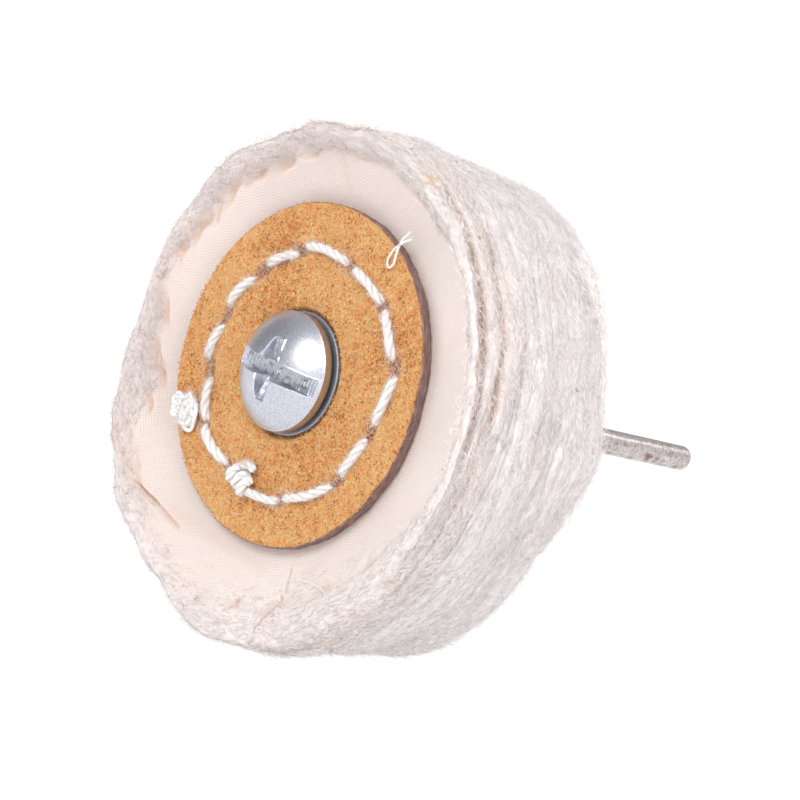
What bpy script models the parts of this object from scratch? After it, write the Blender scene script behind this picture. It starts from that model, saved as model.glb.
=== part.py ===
"""Mounted cloth polishing wheel: cotton plies between two leather discs, on a 3 mm shank.

Frame: metres, +Z up. The origin is the centre of the shank's end face. The wheel's axis is Y:
the shank leaves the wheel towards +Y and the clamp screw's head looks along -Y.
Depths below are measured along +Y from the front leather disc's outer face.
"""

import math

import bmesh
import bpy
from mathutils import Matrix, Vector

MM = 0.001
TAU = 2.0 * math.pi

# Driving dimensions
FACE_Y = -67.6 * MM            # front leather's outer face, seen from the shank's end
WHEEL_RADIUS = 25.4 * MM       # cloth cut to 50 mm and a little more where its edge fluffs out
RIM_CROWN = 0.6 * MM           # how much smaller the outermost plies are
LEATHER_SPAN = 15.8 * MM       # from the front leather's outer face to the rear one's
LEATHER_RADIUS = 17.0 * MM
LEATHER_THICKNESS = 1.2 * MM
LEATHER_EDGE = 0.15 * MM       # bevel of the cut edge
FRONT_BORE_RADIUS = 3.3 * MM   # front disc, around the screw's neck
DISH_DEPTH = 0.95 * MM         # the clamp sinks the middle of each leather disc this far
DISH_FLOOR_RADIUS = 6.9 * MM
DISH_RIM_RADIUS = 8.9 * MM
RIM_FLARE = 3.3 * MM           # the plies fan out this far in front of the leather's inner face
RIM_FLARE_POWER = 1.6
PLY_LEAVES = 20                # each leaf stands for two plies of cloth
PLY_SHARE = 0.72               # of the pitch from leaf to leaf, the rest is air
PLY_BORE_RADIUS = 4.3 * MM
CLEARANCE = 0.1 * MM           # between flat faces that bear on each other

SHANK_RADIUS = 1.5 * MM
SHANK_CHAMFER = 0.4 * MM
HUB_BOSS_RADIUS = 4.0 * MM
HUB_FLANGE_RADIUS = 6.5 * MM
HUB_FLANGE_THICKNESS = 1.4 * MM
HUB_NECK_RADIUS = 3.5 * MM
HUB_NECK_LENGTH = 4.6 * MM
HUB_FRONT_DEPTH = 3.4 * MM
HUB_BORE_RADIUS = 3.1 * MM
HUB_BORE_BOTTOM_DEPTH = 13.0 * MM
HUB_CHAMFER = 0.4 * MM
SHANK_SOCKET_CLEARANCE = 0.05 * MM
SHANK_SOCKET_DEPTH = 14.0 * MM

SCREW_RADIUS = 2.95 * MM       # M6 thread
THREAD_HEIGHT = 0.5 * MM
THREAD_PITCH = 1.0 * MM
SCREW_LENGTH = 12.0 * MM
SCREW_NECK = 2.0 * MM
HEAD_RADIUS = 5.95 * MM
HEAD_RIM = 0.92 * MM
HEAD_DOME = 2.8 * MM
HEAD_EDGE = 0.1 * MM
SLOT_WIDTH = 1.45 * MM
SLOT_HALF_LENGTH = 5.35 * MM
SLOT_FLOOR = 0.45 * MM         # slot floor, above the head's rim
SLOT_ANGLE = math.radians(-5.5)
WING_HALF_LENGTH = 3.1 * MM
WING_FOOT_HALF_LENGTH = 1.2 * MM
WING_DEPTH = 2.7 * MM
WING_FOOT_TAPER = 0.64         # width of a wing at its foot, of the slot's width

WASHER_SINK = 0.85 * MM        # back of the flat washer, behind the leather's outer face
WASHER_THICKNESS = 0.75 * MM
WASHER_RADIUS = 6.15 * MM
WASHER_BORE_RADIUS = 3.2 * MM
WASHER_EDGE = 0.12 * MM
LOCK_THICKNESS = 0.42 * MM
LOCK_RADIUS = 5.2 * MM
LOCK_SLIT = 0.8 * MM
WASHER_GAP = 0.04 * MM

CORD_RADIUS = 0.45 * MM
STITCH_RADIUS = 12.45 * MM
STITCH_HOLE_RADIUS = 1.0 * MM
STITCH_RISE = 0.58 * MM        # cord's centre above the leather along a stitch
STITCH_DIP = 0.25 * MM         # cord's centre below the leather at a hole
STITCH_RAMP = 0.7 * MM         # arc over which the cord comes out of a hole
STITCH_DRAW = 0.1 * MM         # a stitch pulls straight, so its middle lies this much further in
STITCH_HOLES_DEG = (16, 43, 71, 106, 134, 165, 192.5, 218.4, 246, 287.5, 322, 348)

KNOT_PLACE = (10.9 * MM, 262.5)                # radius, degrees
KNOT_SIZE = (1.4 * MM, 1.1 * MM, 2.6 * MM)     # radial, axial, along the stitch
FRAY_PLACE = (15.4 * MM, 208.5)
FRAY_SIZE = (3.6 * MM, 1.1 * MM, 2.4 * MM)
LUMP_HEIGHT = 0.7 * MM         # centre of either lump, above the leather

ROUND = 36                     # segments of a leather disc, flat washer or screw head
PLY_ROUND = 24                 # segments of a ply, lock washer, hub or shank
HOLE_ROUND = 8
THREAD_ROUND = 14
DOME_STEPS = 7
SHARP_ANGLE = math.radians(35)
CUTTER_OVERSHOOT = 0.5 * MM    # how far a cutter stands clear of the face it enters
MERGE_DISTANCE = 1e-7


# Materials

def material(name, colour, roughness, metallic=0.0):
    made = bpy.data.materials.new(name)
    made.use_nodes = True
    shader = made.node_tree.nodes["Principled BSDF"]
    shader.inputs["Base Color"].default_value = (*colour, 1.0)
    shader.inputs["Roughness"].default_value = roughness
    shader.inputs["Metallic"].default_value = metallic
    return made


# Shape helpers

def depth(value):
    """World Y of a depth behind the front leather's outer face."""
    return FACE_Y + value


def add_object(name, mesh, finish):
    mesh.materials.append(finish)
    body = bpy.data.objects.new(name, mesh)
    bpy.context.collection.objects.link(body)
    return body


def finish_mesh(bm, name):
    bmesh.ops.recalc_face_normals(bm, faces=bm.faces)
    mesh = bpy.data.meshes.new(name)
    bm.to_mesh(mesh)
    bm.free()
    mesh.shade_smooth()
    mesh.set_sharp_from_angle(angle=SHARP_ANGLE)
    return mesh


def turned(name, profile, steps, finish, ring=False, sweep=TAU):
    """Spin (radius, y) points about the Y axis. A ring's profile is a closed loop."""
    bm = bmesh.new()
    points = [bm.verts.new((r, y, 0.0)) for r, y in profile]
    edges = [bm.edges.new(pair) for pair in zip(points, points[1:])]
    if ring:
        edges.append(bm.edges.new((points[-1], points[0])))
    whole = sweep > TAU - 1e-6
    bmesh.ops.spin(bm, geom=points + edges, cent=(0, 0, 0), axis=(0, 1, 0),
                   angle=sweep, steps=steps, use_merge=whole)
    bmesh.ops.remove_doubles(bm, verts=bm.verts, dist=MERGE_DISTANCE)
    if not whole:
        bmesh.ops.holes_fill(bm, edges=bm.edges, sides=0)
    return add_object(name, finish_mesh(bm, name), finish)


def cutter(name, bm):
    mesh = bpy.data.meshes.new(name)
    bmesh.ops.recalc_face_normals(bm, faces=bm.faces)
    bm.to_mesh(mesh)
    bm.free()
    tool = bpy.data.objects.new(name, mesh)
    bpy.context.collection.objects.link(tool)
    tool.hide_render = True
    tool.display_type = "WIRE"
    return tool


def cut(body, tool, operation="DIFFERENCE"):
    boolean = body.modifiers.new(tool.name, "BOOLEAN")
    boolean.operation = operation
    boolean.solver = "EXACT"
    boolean.object = tool


def smooth_step(low, high, value):
    t = min(max((value - low) / (high - low), 0.0), 1.0)
    return t * t * (3.0 - 2.0 * t)


def wheel_point(radius, degrees, y):
    """A point at an angle about the axis, from +X towards +Z."""
    angle = math.radians(degrees)
    return Vector((radius * math.cos(angle), y, radius * math.sin(angle)))


# Cloth plies

def dish(radius):
    """How far the clamp sinks the stack's face at a radius."""
    return DISH_DEPTH * (1.0 - smooth_step(DISH_FLOOR_RADIUS, DISH_RIM_RADIUS, radius))


def stack_front(radius):
    """Depth of the cloth stack's front face: dished at the hub, flared at the rim."""
    out = max(radius - LEATHER_RADIUS, 0.0) / (WHEEL_RADIUS - LEATHER_RADIUS)
    return LEATHER_THICKNESS + CLEARANCE + dish(radius) - RIM_FLARE * out ** RIM_FLARE_POWER


def in_stack(radius, share):
    """World Y at a share of the stack's thickness, 0 at the front and 1 at the back."""
    front = stack_front(radius)
    return depth(front + (LEATHER_SPAN - 2.0 * front) * share)


def cloth_ply(index, finish):
    middle = (index + 0.5) / PLY_LEAVES
    low = middle - PLY_SHARE / PLY_LEAVES / 2.0
    high = middle + PLY_SHARE / PLY_LEAVES / 2.0
    outer = WHEEL_RADIUS - RIM_CROWN * (2.0 * middle - 1.0) ** 2
    stations = (PLY_BORE_RADIUS, DISH_FLOOR_RADIUS, DISH_RIM_RADIUS, LEATHER_RADIUS, outer)
    front = [(r, in_stack(r, low)) for r in stations]
    back = [(r, in_stack(r, high)) for r in reversed(stations)]
    turned(f"cloth_ply_{index + 1:02d}", front + back, PLY_ROUND, finish, ring=True)


# Leather discs and their stitching

def leather_disc(name, bore_radius, face, inward, finish):
    """face is the outer face's world Y; inward is +1 where the wheel lies towards +Y."""
    flat_radius = LEATHER_RADIUS - LEATHER_EDGE
    stations = (bore_radius, DISH_FLOOR_RADIUS, DISH_RIM_RADIUS, flat_radius)
    outside = [(r, face + inward * dish(r)) for r in stations]
    inside = [(r, y + inward * LEATHER_THICKNESS) for r, y in reversed(outside)]
    rim = [(LEATHER_RADIUS, face + inward * LEATHER_EDGE),
           (LEATHER_RADIUS, face + inward * (LEATHER_THICKNESS - LEATHER_EDGE))]
    disc = turned(name, outside + rim + inside, ROUND, finish, ring=True)
    bm = bmesh.new()
    middle = face + inward * LEATHER_THICKNESS / 2.0
    upright = Matrix.Rotation(math.radians(90), 4, "X")
    for degrees in STITCH_HOLES_DEG:
        place = Matrix.Translation(wheel_point(STITCH_RADIUS, degrees, middle))
        bmesh.ops.create_cone(bm, cap_ends=True, segments=HOLE_ROUND,
                              radius1=STITCH_HOLE_RADIUS, radius2=STITCH_HOLE_RADIUS,
                              depth=3.0 * LEATHER_THICKNESS, matrix=place @ upright)
    cut(disc, cutter(f"needle_holes_{name}", bm))


def stitch_cord(name, face, inward, finish):
    """One closed loop of cord that runs over the leather and dips into each needle hole."""
    ramp = math.degrees(STITCH_RAMP / STITCH_RADIUS)
    route = []
    over = face - inward * STITCH_RISE
    under = face + inward * STITCH_DIP
    for index, here in enumerate(STITCH_HOLES_DEG):
        following = STITCH_HOLES_DEG[(index + 1) % len(STITCH_HOLES_DEG)]
        gap = (following - here) % 360
        route.append(wheel_point(STITCH_RADIUS, here, under))
        route.append(wheel_point(STITCH_RADIUS, here + ramp, over))
        route.append(wheel_point(STITCH_RADIUS - STITCH_DRAW, here + gap / 2, over))
        route.append(wheel_point(STITCH_RADIUS, following - ramp, over))
    curve = bpy.data.curves.new(name, "CURVE")
    curve.dimensions = "3D"
    curve.bevel_depth = CORD_RADIUS
    curve.bevel_resolution = 1
    spline = curve.splines.new("POLY")
    spline.points.add(len(route) - 1)
    for point, place in zip(spline.points, route):
        point.co = (*place, 1.0)
    spline.use_cyclic_u = True
    curve.materials.append(finish)
    body = bpy.data.objects.new(name, curve)
    bpy.context.collection.objects.link(body)


def cord_lump(name, radius, degrees, size, finish):
    """A small rounded lump of cord that lies on the front leather."""
    bm = bmesh.new()
    place = Matrix.Translation(wheel_point(radius, degrees, depth(-LUMP_HEIGHT)))
    turn = Matrix.Rotation(-math.radians(degrees), 4, "Y")
    scale = Matrix.Diagonal((size[0] / 2, size[1] / 2, size[2] / 2, 1.0))
    bmesh.ops.create_icosphere(bm, subdivisions=2, radius=1.0, matrix=place @ turn @ scale)
    add_object(name, finish_mesh(bm, name), finish)


# Mandrel

def threaded_hub(finish):
    """Flanged T nut: the boss runs forward through the plies, the neck holds the shank."""
    flange_front = LEATHER_SPAN - DISH_DEPTH + CLEARANCE
    flange_back = flange_front + HUB_FLANGE_THICKNESS
    neck_end = flange_back + HUB_NECK_LENGTH
    socket = SHANK_RADIUS + SHANK_SOCKET_CLEARANCE
    profile = (
        (0.0, HUB_BORE_BOTTOM_DEPTH),
        (HUB_BORE_RADIUS, HUB_BORE_BOTTOM_DEPTH - 1.0 * MM),
        (HUB_BORE_RADIUS, HUB_FRONT_DEPTH),
        (HUB_BOSS_RADIUS - HUB_CHAMFER, HUB_FRONT_DEPTH),
        (HUB_BOSS_RADIUS, HUB_FRONT_DEPTH + HUB_CHAMFER),
        (HUB_BOSS_RADIUS, flange_front),
        (HUB_FLANGE_RADIUS - HUB_CHAMFER / 2, flange_front),
        (HUB_FLANGE_RADIUS, flange_front + HUB_CHAMFER / 2),
        (HUB_FLANGE_RADIUS, flange_back - HUB_CHAMFER / 2),
        (HUB_FLANGE_RADIUS - HUB_CHAMFER / 2, flange_back),
        (HUB_NECK_RADIUS, flange_back),
        (HUB_NECK_RADIUS, neck_end - HUB_CHAMFER),
        (HUB_NECK_RADIUS - HUB_CHAMFER, neck_end),
        (socket, neck_end),
        (socket, SHANK_SOCKET_DEPTH),
        (0.0, SHANK_SOCKET_DEPTH),
    )
    turned("threaded_hub", [(r, depth(d)) for r, d in profile], PLY_ROUND, finish)


def shank(finish):
    start = depth(SHANK_SOCKET_DEPTH + CLEARANCE)
    profile = (
        (0.0, start),
        (SHANK_RADIUS - SHANK_CHAMFER / 2, start),
        (SHANK_RADIUS, start + SHANK_CHAMFER / 2),
        (SHANK_RADIUS, -SHANK_CHAMFER),
        (SHANK_RADIUS - SHANK_CHAMFER, 0.0),
        (0.0, 0.0),
    )
    turned("shank", profile, PLY_ROUND, finish)


# Screw and washers

WASHER_FRONT = WASHER_SINK - WASHER_THICKNESS
LOCK_FRONT = WASHER_FRONT - WASHER_GAP - LOCK_THICKNESS
HEAD_SEAT = LOCK_FRONT - WASHER_GAP


def flat_washer(finish):
    profile = (
        (WASHER_BORE_RADIUS, WASHER_SINK),
        (WASHER_BORE_RADIUS, WASHER_FRONT),
        (WASHER_RADIUS - WASHER_EDGE, WASHER_FRONT),
        (WASHER_RADIUS, WASHER_FRONT + WASHER_EDGE),
        (WASHER_RADIUS, WASHER_SINK),
    )
    turned("flat_washer", [(r, depth(d)) for r, d in profile], ROUND, finish, ring=True)


def split_lock_washer(finish):
    profile = (
        (WASHER_BORE_RADIUS, LOCK_FRONT + LOCK_THICKNESS),
        (WASHER_BORE_RADIUS, LOCK_FRONT),
        (LOCK_RADIUS, LOCK_FRONT),
        (LOCK_RADIUS, LOCK_FRONT + LOCK_THICKNESS),
    )
    points = [(r, depth(d)) for r, d in profile]
    turned("split_lock_washer", points, PLY_ROUND, finish, ring=True,
           sweep=TAU - LOCK_SLIT / LOCK_RADIUS)


def threaded_rod(start, end):
    """A closed helical thread between two depths: a sheared tube, trimmed flat at both ends."""
    levels = (0.0, 0.0, THREAD_HEIGHT, THREAD_HEIGHT)
    rows = int((end - start) / THREAD_PITCH + 3) * len(levels)
    bm = bmesh.new()
    rings = []
    for row in range(rows):
        radius = SCREW_RADIUS - levels[row % len(levels)]
        ring = []
        for side in range(THREAD_ROUND + 1):
            turns = side / THREAD_ROUND
            lead = row / len(levels) + turns - 1.0
            place = wheel_point(radius, 360.0 * turns, depth(start + lead * THREAD_PITCH))
            ring.append(bm.verts.new(place))
        rings.append(ring)
    for lower, upper in zip(rings, rings[1:]):
        for side in range(THREAD_ROUND):
            bm.faces.new((lower[side], lower[side + 1], upper[side + 1], upper[side]))
    bmesh.ops.remove_doubles(bm, verts=bm.verts, dist=MERGE_DISTANCE)
    for place, outwards in ((start, -1.0), (end, 1.0)):
        bmesh.ops.bisect_plane(bm, geom=bm.verts[:] + bm.edges[:] + bm.faces[:], dist=1e-8,
                               plane_co=(0, depth(place), 0), plane_no=(0, outwards, 0),
                               clear_outer=True)
    bmesh.ops.holes_fill(bm, edges=bm.edges, sides=0)
    return bm


def recess_wing(angle):
    """One pair of the crossed recess's wings, tapering towards its foot."""
    bm = bmesh.new()
    bmesh.ops.create_cube(bm, size=2.0)
    top = depth(HEAD_SEAT - HEAD_RIM - HEAD_DOME) - CUTTER_OVERSHOOT
    foot = depth(HEAD_SEAT - HEAD_RIM - HEAD_DOME + WING_DEPTH)
    for vert in bm.verts:
        deep = vert.co.y > 0
        length = WING_FOOT_HALF_LENGTH if deep else WING_HALF_LENGTH
        width = SLOT_WIDTH / 2 * (WING_FOOT_TAPER if deep else 1.0)
        vert.co = (vert.co.x * length, foot if deep else top, vert.co.z * width)
    bmesh.ops.rotate(bm, verts=bm.verts, cent=(0, 0, 0),
                     matrix=Matrix.Rotation(-angle, 3, "Y"))
    return bm


def slot():
    bm = bmesh.new()
    bmesh.ops.create_cube(bm, size=2.0)
    floor = depth(HEAD_SEAT - HEAD_RIM - SLOT_FLOOR)
    top = depth(HEAD_SEAT - HEAD_RIM - HEAD_DOME) - CUTTER_OVERSHOOT
    for vert in bm.verts:
        deep = vert.co.y > 0
        vert.co = (vert.co.x * SLOT_HALF_LENGTH, floor if deep else top,
                   vert.co.z * SLOT_WIDTH / 2)
    bmesh.ops.rotate(bm, verts=bm.verts, cent=(0, 0, 0),
                     matrix=Matrix.Rotation(-SLOT_ANGLE, 3, "Y"))
    return bm


def clamp_screw(finish):
    """Pan head with a slotted and crossed recess, plain neck and M6 thread."""
    ball = (HEAD_RADIUS ** 2 + HEAD_DOME ** 2) / (2.0 * HEAD_DOME)
    rim_depth = HEAD_SEAT - HEAD_RIM
    neck_radius = SCREW_RADIUS - THREAD_HEIGHT - THREAD_HEIGHT / 10.0
    neck_end = HEAD_SEAT + SCREW_NECK
    into_thread = neck_end + THREAD_PITCH / 4
    profile = [
        (0.0, into_thread),
        (neck_radius, into_thread),
        (neck_radius, HEAD_SEAT),
        (HEAD_RADIUS - HEAD_EDGE, HEAD_SEAT),
        (HEAD_RADIUS, HEAD_SEAT - HEAD_EDGE),
    ]
    half_angle = math.asin(HEAD_RADIUS / ball)
    for step in range(DOME_STEPS):
        angle = half_angle * (1.0 - step / DOME_STEPS)
        height = ball * math.cos(angle) - (ball - HEAD_DOME)
        profile.append((ball * math.sin(angle), rim_depth - height))
    profile.append((0.0, rim_depth - HEAD_DOME))
    screw = turned("clamp_screw", [(r, depth(d)) for r, d in profile], ROUND, finish)
    cut(screw, cutter("screw_thread", threaded_rod(neck_end, HEAD_SEAT + SCREW_LENGTH)), "UNION")
    cut(screw, cutter("recess_slot", slot()))
    cut(screw, cutter("recess_wing_long", recess_wing(SLOT_ANGLE)))
    cut(screw, cutter("recess_wing_cross", recess_wing(SLOT_ANGLE + math.pi / 2)))


def build():
    for old in list(bpy.data.objects):
        bpy.data.objects.remove(old, do_unlink=True)

    cotton = material("cotton_cloth", (0.83, 0.78, 0.72), 0.95)
    cord = material("cotton_cord", (0.88, 0.85, 0.79), 0.9)
    suede = material("suede_leather", (0.62, 0.33, 0.11), 0.9)
    zinc = material("zinc_plate", (0.72, 0.74, 0.78), 0.25, 1.0)
    steel = material("plain_steel", (0.50, 0.47, 0.44), 0.45, 1.0)

    shank(steel)
    threaded_hub(steel)
    for index in range(PLY_LEAVES):
        cloth_ply(index, cotton)

    rear_face = depth(LEATHER_SPAN)
    leather_disc("front_leather_disc", FRONT_BORE_RADIUS, FACE_Y, 1.0, suede)
    leather_disc("rear_leather_disc", PLY_BORE_RADIUS, rear_face, -1.0, suede)
    stitch_cord("front_stitch_cord", FACE_Y, 1.0, cord)
    stitch_cord("rear_stitch_cord", rear_face, -1.0, cord)
    cord_lump("closing_knot", *KNOT_PLACE, KNOT_SIZE, cord)
    cord_lump("frayed_cord_end", *FRAY_PLACE, FRAY_SIZE, cord)

    flat_washer(zinc)
    split_lock_washer(zinc)
    clamp_screw(zinc)


build()
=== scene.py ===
"""Mounted cloth polishing wheel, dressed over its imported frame.

Lengths in this file are millimetres, and become metres where a mesh is made. A place on the
wheel is (radius, angle, depth): the angle runs from +X towards +Z, and depth is measured
towards +Y from the front leather disc's outer face.
"""
import math

import bpy
import numpy as np
from mathutils import Matrix, Vector
from mathutils.geometry import delaunay_2d_cdt


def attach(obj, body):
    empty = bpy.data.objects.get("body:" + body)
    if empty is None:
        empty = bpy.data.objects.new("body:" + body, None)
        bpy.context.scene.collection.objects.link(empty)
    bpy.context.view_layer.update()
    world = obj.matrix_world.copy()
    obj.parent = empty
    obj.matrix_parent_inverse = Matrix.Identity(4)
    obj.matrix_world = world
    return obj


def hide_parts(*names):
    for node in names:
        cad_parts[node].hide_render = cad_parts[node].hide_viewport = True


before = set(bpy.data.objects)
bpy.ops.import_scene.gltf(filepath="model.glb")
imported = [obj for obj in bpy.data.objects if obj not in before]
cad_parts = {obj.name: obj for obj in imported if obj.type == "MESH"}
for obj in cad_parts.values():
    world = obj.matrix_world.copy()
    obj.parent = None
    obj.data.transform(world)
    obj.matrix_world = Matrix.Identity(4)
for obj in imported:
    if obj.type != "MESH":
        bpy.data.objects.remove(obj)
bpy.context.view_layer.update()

MM = 0.001
TAU = 2.0 * math.pi

# The frame's own dimensions
FACE_Y = -67.6
WHEEL_RADIUS = 25.4
LEATHER_SPAN = 15.8
LEATHER_RADIUS = 17.0
LEATHER_THICKNESS = 1.2
DISH_DEPTH = 0.95
DISH_RIM_RADIUS = 10.3
PLIES = 20
PLY_BORE_RADIUS = 4.3
SCREW_RADIUS = 2.95
THREAD_HEIGHT = 0.5
THREAD_PITCH = 1.0
SCREW_LENGTH = 12.0
SCREW_NECK = 2.0
HEAD_RADIUS = 5.95
HEAD_RIM = 0.92
HEAD_DOME = 2.8
HEAD_SEAT = -0.40
SLOT_ANGLE = math.radians(-5.5)
WASHER_BORE = 3.2
WASHER_RADIUS = 6.17
SHANK_RADIUS = 1.5
HUB_BORE = 3.1

rng = np.random.default_rng(7)


# Small mathematics

def smooth(low, high, value):
    t = np.clip((value - low) / (high - low), 0.0, 1.0)
    return t * t * (3.0 - 2.0 * t)


def mix(a, b, t):
    return a + (b - a) * t


def wheel(radius, angle, depth):
    """World points in millimetres."""
    radius, angle, depth = np.broadcast_arrays(radius, angle, depth)
    return np.stack([radius * np.cos(angle), FACE_Y + depth, radius * np.sin(angle)], axis=-1)


NOISE_CELLS = 32
noise_table = np.random.default_rng(11).uniform(-1.0, 1.0, (NOISE_CELLS,) * 3)


def noise(points, size):
    """Smooth noise of about -0.7 to 0.7 with features of that size."""
    place = np.asarray(points, float) / size + 100.0
    cell = np.floor(place).astype(int)
    part = place - cell
    part = part * part * (3.0 - 2.0 * part)
    total = 0.0
    for corner in np.ndindex(2, 2, 2):
        index = (cell + corner) % NOISE_CELLS
        weight = np.prod(np.where(corner, part, 1.0 - part), axis=-1)
        total = total + weight * noise_table[index[..., 0], index[..., 1], index[..., 2]]
    return total


def around(angle, seed, size):
    """Noise along the rim, periodic in the angle."""
    ring = np.stack([WHEEL_RADIUS * np.cos(angle), WHEEL_RADIUS * np.sin(angle),
                     np.full_like(angle, seed * 17.3)], axis=-1)
    return noise(ring, size)


COLUMNS = 480
angles = np.linspace(0.0, TAU, COLUMNS, endpoint=False)


def by_angle(table):
    """A value given at a few angles in degrees, at every column of the plies."""
    spots, values = zip(*sorted((degrees % 360.0, value) for degrees, value in table))
    return np.interp(np.degrees(angles) % 360.0, spots, values, period=360.0)


def plane(x, z, level=0.0):
    """Noise coordinates in the wheel's plane."""
    return np.stack([x, z, np.full_like(x, level)], axis=-1)


# Meshes from arrays

def make_mesh(name, points, faces, tint=None, fields=None):
    """points in millimetres; faces an (n, 3) or (n, 4) array; tint a colour for each point."""
    mesh = bpy.data.meshes.new(name)
    points = np.asarray(points, float).reshape(-1, 3) * MM
    faces = np.asarray(faces, np.int32)
    corners = faces.shape[1]
    mesh.vertices.add(len(points))
    mesh.vertices.foreach_set("co", points.ravel())
    mesh.loops.add(faces.size)
    mesh.loops.foreach_set("vertex_index", faces.ravel())
    mesh.polygons.add(len(faces))
    mesh.polygons.foreach_set("loop_start", np.arange(0, faces.size, corners, dtype=np.int32))
    mesh.polygons.foreach_set("use_smooth", np.ones(len(faces), bool))
    mesh.update(calc_edges=True)
    if tint is not None:
        layer = mesh.attributes.new("tint", "FLOAT_COLOR", "POINT")
        colours = np.ones((len(points), 4))
        colours[:, :3] = np.broadcast_to(tint, (len(points), 3))
        layer.data.foreach_set("color", colours.ravel())
    for field, values in (fields or {}).items():
        values = np.asarray(values, float)
        if values.ndim > 1:
            layer = mesh.attributes.new(field, "FLOAT_VECTOR", "POINT")
            layer.data.foreach_set("vector", values.ravel())
        else:
            layer = mesh.attributes.new(field, "FLOAT", "POINT")
            layer.data.foreach_set("value", values)
    return mesh


def add_piece(name, shape, finish, body, slot, *nodes, tint=None, fields=None):
    """A piece from its (points, faces), with the CAD nodes that it stands for."""
    mesh = make_mesh(name, *shape, tint, fields)
    piece = bpy.data.objects.new(name, mesh)
    bpy.context.collection.objects.link(piece)
    mesh.materials.append(finish)
    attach(piece, body)
    if nodes:
        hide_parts(*nodes)
    return piece


def loop_faces(rows, columns, close_rows=True):
    """Quads of a grid whose columns wrap, and whose rows wrap too where it is a closed ring."""
    row = np.arange(rows if close_rows else rows - 1)[:, None]
    column = np.arange(columns)[None, :]
    here = row * columns
    above = (row + 1) % rows * columns
    beside = (column + 1) % columns
    quads = np.stack([here + column, here + beside, above + beside, above + column], axis=-1)
    return quads.reshape(-1, 4)


def unit(vectors):
    return vectors / np.maximum(np.linalg.norm(vectors, axis=-1, keepdims=True), 1e-9)


def normals_of(grid):
    """Unit normals of a grid that is closed both ways."""
    down = np.roll(grid, -1, axis=0) - np.roll(grid, 1, axis=0)
    along = np.roll(grid, -1, axis=1) - np.roll(grid, 1, axis=1)
    return unit(np.cross(along, down))


def spun(profile, columns):
    """Grid of a (radius, depth) loop turned about the wheel's axis."""
    angle = np.linspace(0.0, TAU, columns, endpoint=False)[None, :]
    profile = np.array(profile, float)
    return wheel(profile[:, :1], angle, profile[:, 1:])


def merge(parts):
    """One (points, faces) out of several."""
    points, faces, start = [], [], 0
    for part_points, part_faces in parts:
        part_points = np.asarray(part_points, float).reshape(-1, 3)
        points.append(part_points)
        faces.append(np.asarray(part_faces) + start)
        start += len(part_points)
    return np.concatenate(points), np.concatenate(faces)



def tube(path, radius, sides):
    """A closed tube of quads along a path; radius is one number or one for each point."""
    path = np.asarray(path, float)
    tangent = unit(np.gradient(path, axis=0))
    side = np.zeros_like(path)
    start = np.cross(tangent[0], (0.3, 0.2, 1.0))
    side[0] = start / np.linalg.norm(start)
    for k in range(1, len(path)):
        carried = side[k - 1] - tangent[k] * (side[k - 1] @ tangent[k])
        side[k] = carried / np.linalg.norm(carried)
    other = np.cross(tangent, side)
    turn = np.linspace(0.0, TAU, sides, endpoint=False)[None, :, None]
    radius = np.broadcast_to(radius, (len(path),))[:, None, None]
    rings = path[:, None] + radius * (np.cos(turn) * side[:, None] + np.sin(turn) * other[:, None])
    rings = np.concatenate([np.repeat(path[:1, None], sides, 1), rings,
                            np.repeat(path[-1:, None], sides, 1)])
    return rings.reshape(-1, 3), loop_faces(len(rings), sides, close_rows=False)


def curve_through(knots, count):
    """Catmull-Rom samples through a few points."""
    knots = np.asarray(knots, float)
    padded = np.concatenate([2 * knots[:1] - knots[1:2], knots, 2 * knots[-1:] - knots[-2:-1]])
    spans = len(knots) - 1
    t = np.linspace(0.0, spans, count)
    index = np.minimum(t.astype(int), spans - 1)
    t = (t - index)[:, None]
    a, b, c, d = (padded[index + k] for k in range(4))
    return 0.5 * (2 * b + (c - a) * t + (2 * a - 5 * b + 4 * c - d) * t ** 2
                  + (3 * b - 3 * c + d - a) * t ** 3)


def fibres(root, direction, length, thickness, bend, rise):
    """Closed hairs that taper to both ends, as one (points, faces) of triangles.

    bend bows each hair sideways at random and rise bows it along the given vectors, both as a
    share of its length.
    """
    count = len(root)
    direction = unit(direction)
    side = unit(np.cross(direction, rng.normal(size=(count, 3))))
    other = np.cross(direction, side)
    length = np.broadcast_to(length, (count,))[:, None]
    thickness = np.broadcast_to(thickness, (count,))[:, None]
    middle = root + direction * length * rng.uniform(0.35, 0.6, (count, 1))
    middle = middle + side * length * np.broadcast_to(bend, (count,))[:, None]
    if rise is not None:
        middle = middle + rise * length
    corners = [middle + thickness / 2.0 * (math.cos(turn) * side + math.sin(turn) * other)
               for turn in (0.0, TAU / 3, TAU * 2 / 3)]
    points = np.stack([root] + corners + [root + direction * length], axis=1)
    pattern = [(0, 2, 1), (0, 3, 2), (0, 1, 3), (4, 1, 2), (4, 2, 3), (4, 3, 1)]
    faces = np.arange(count)[:, None, None] * 5 + np.array(pattern)
    return points.reshape(-1, 3), faces.reshape(-1, 3)


# Materials

def srgb(red, green, blue):
    """Linear colour of an sRGB one given from 0 to 255."""
    part = np.array([red, green, blue]) / 255.0
    return np.where(part <= 0.04045, part / 12.92, ((part + 0.055) / 1.055) ** 2.4)


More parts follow.
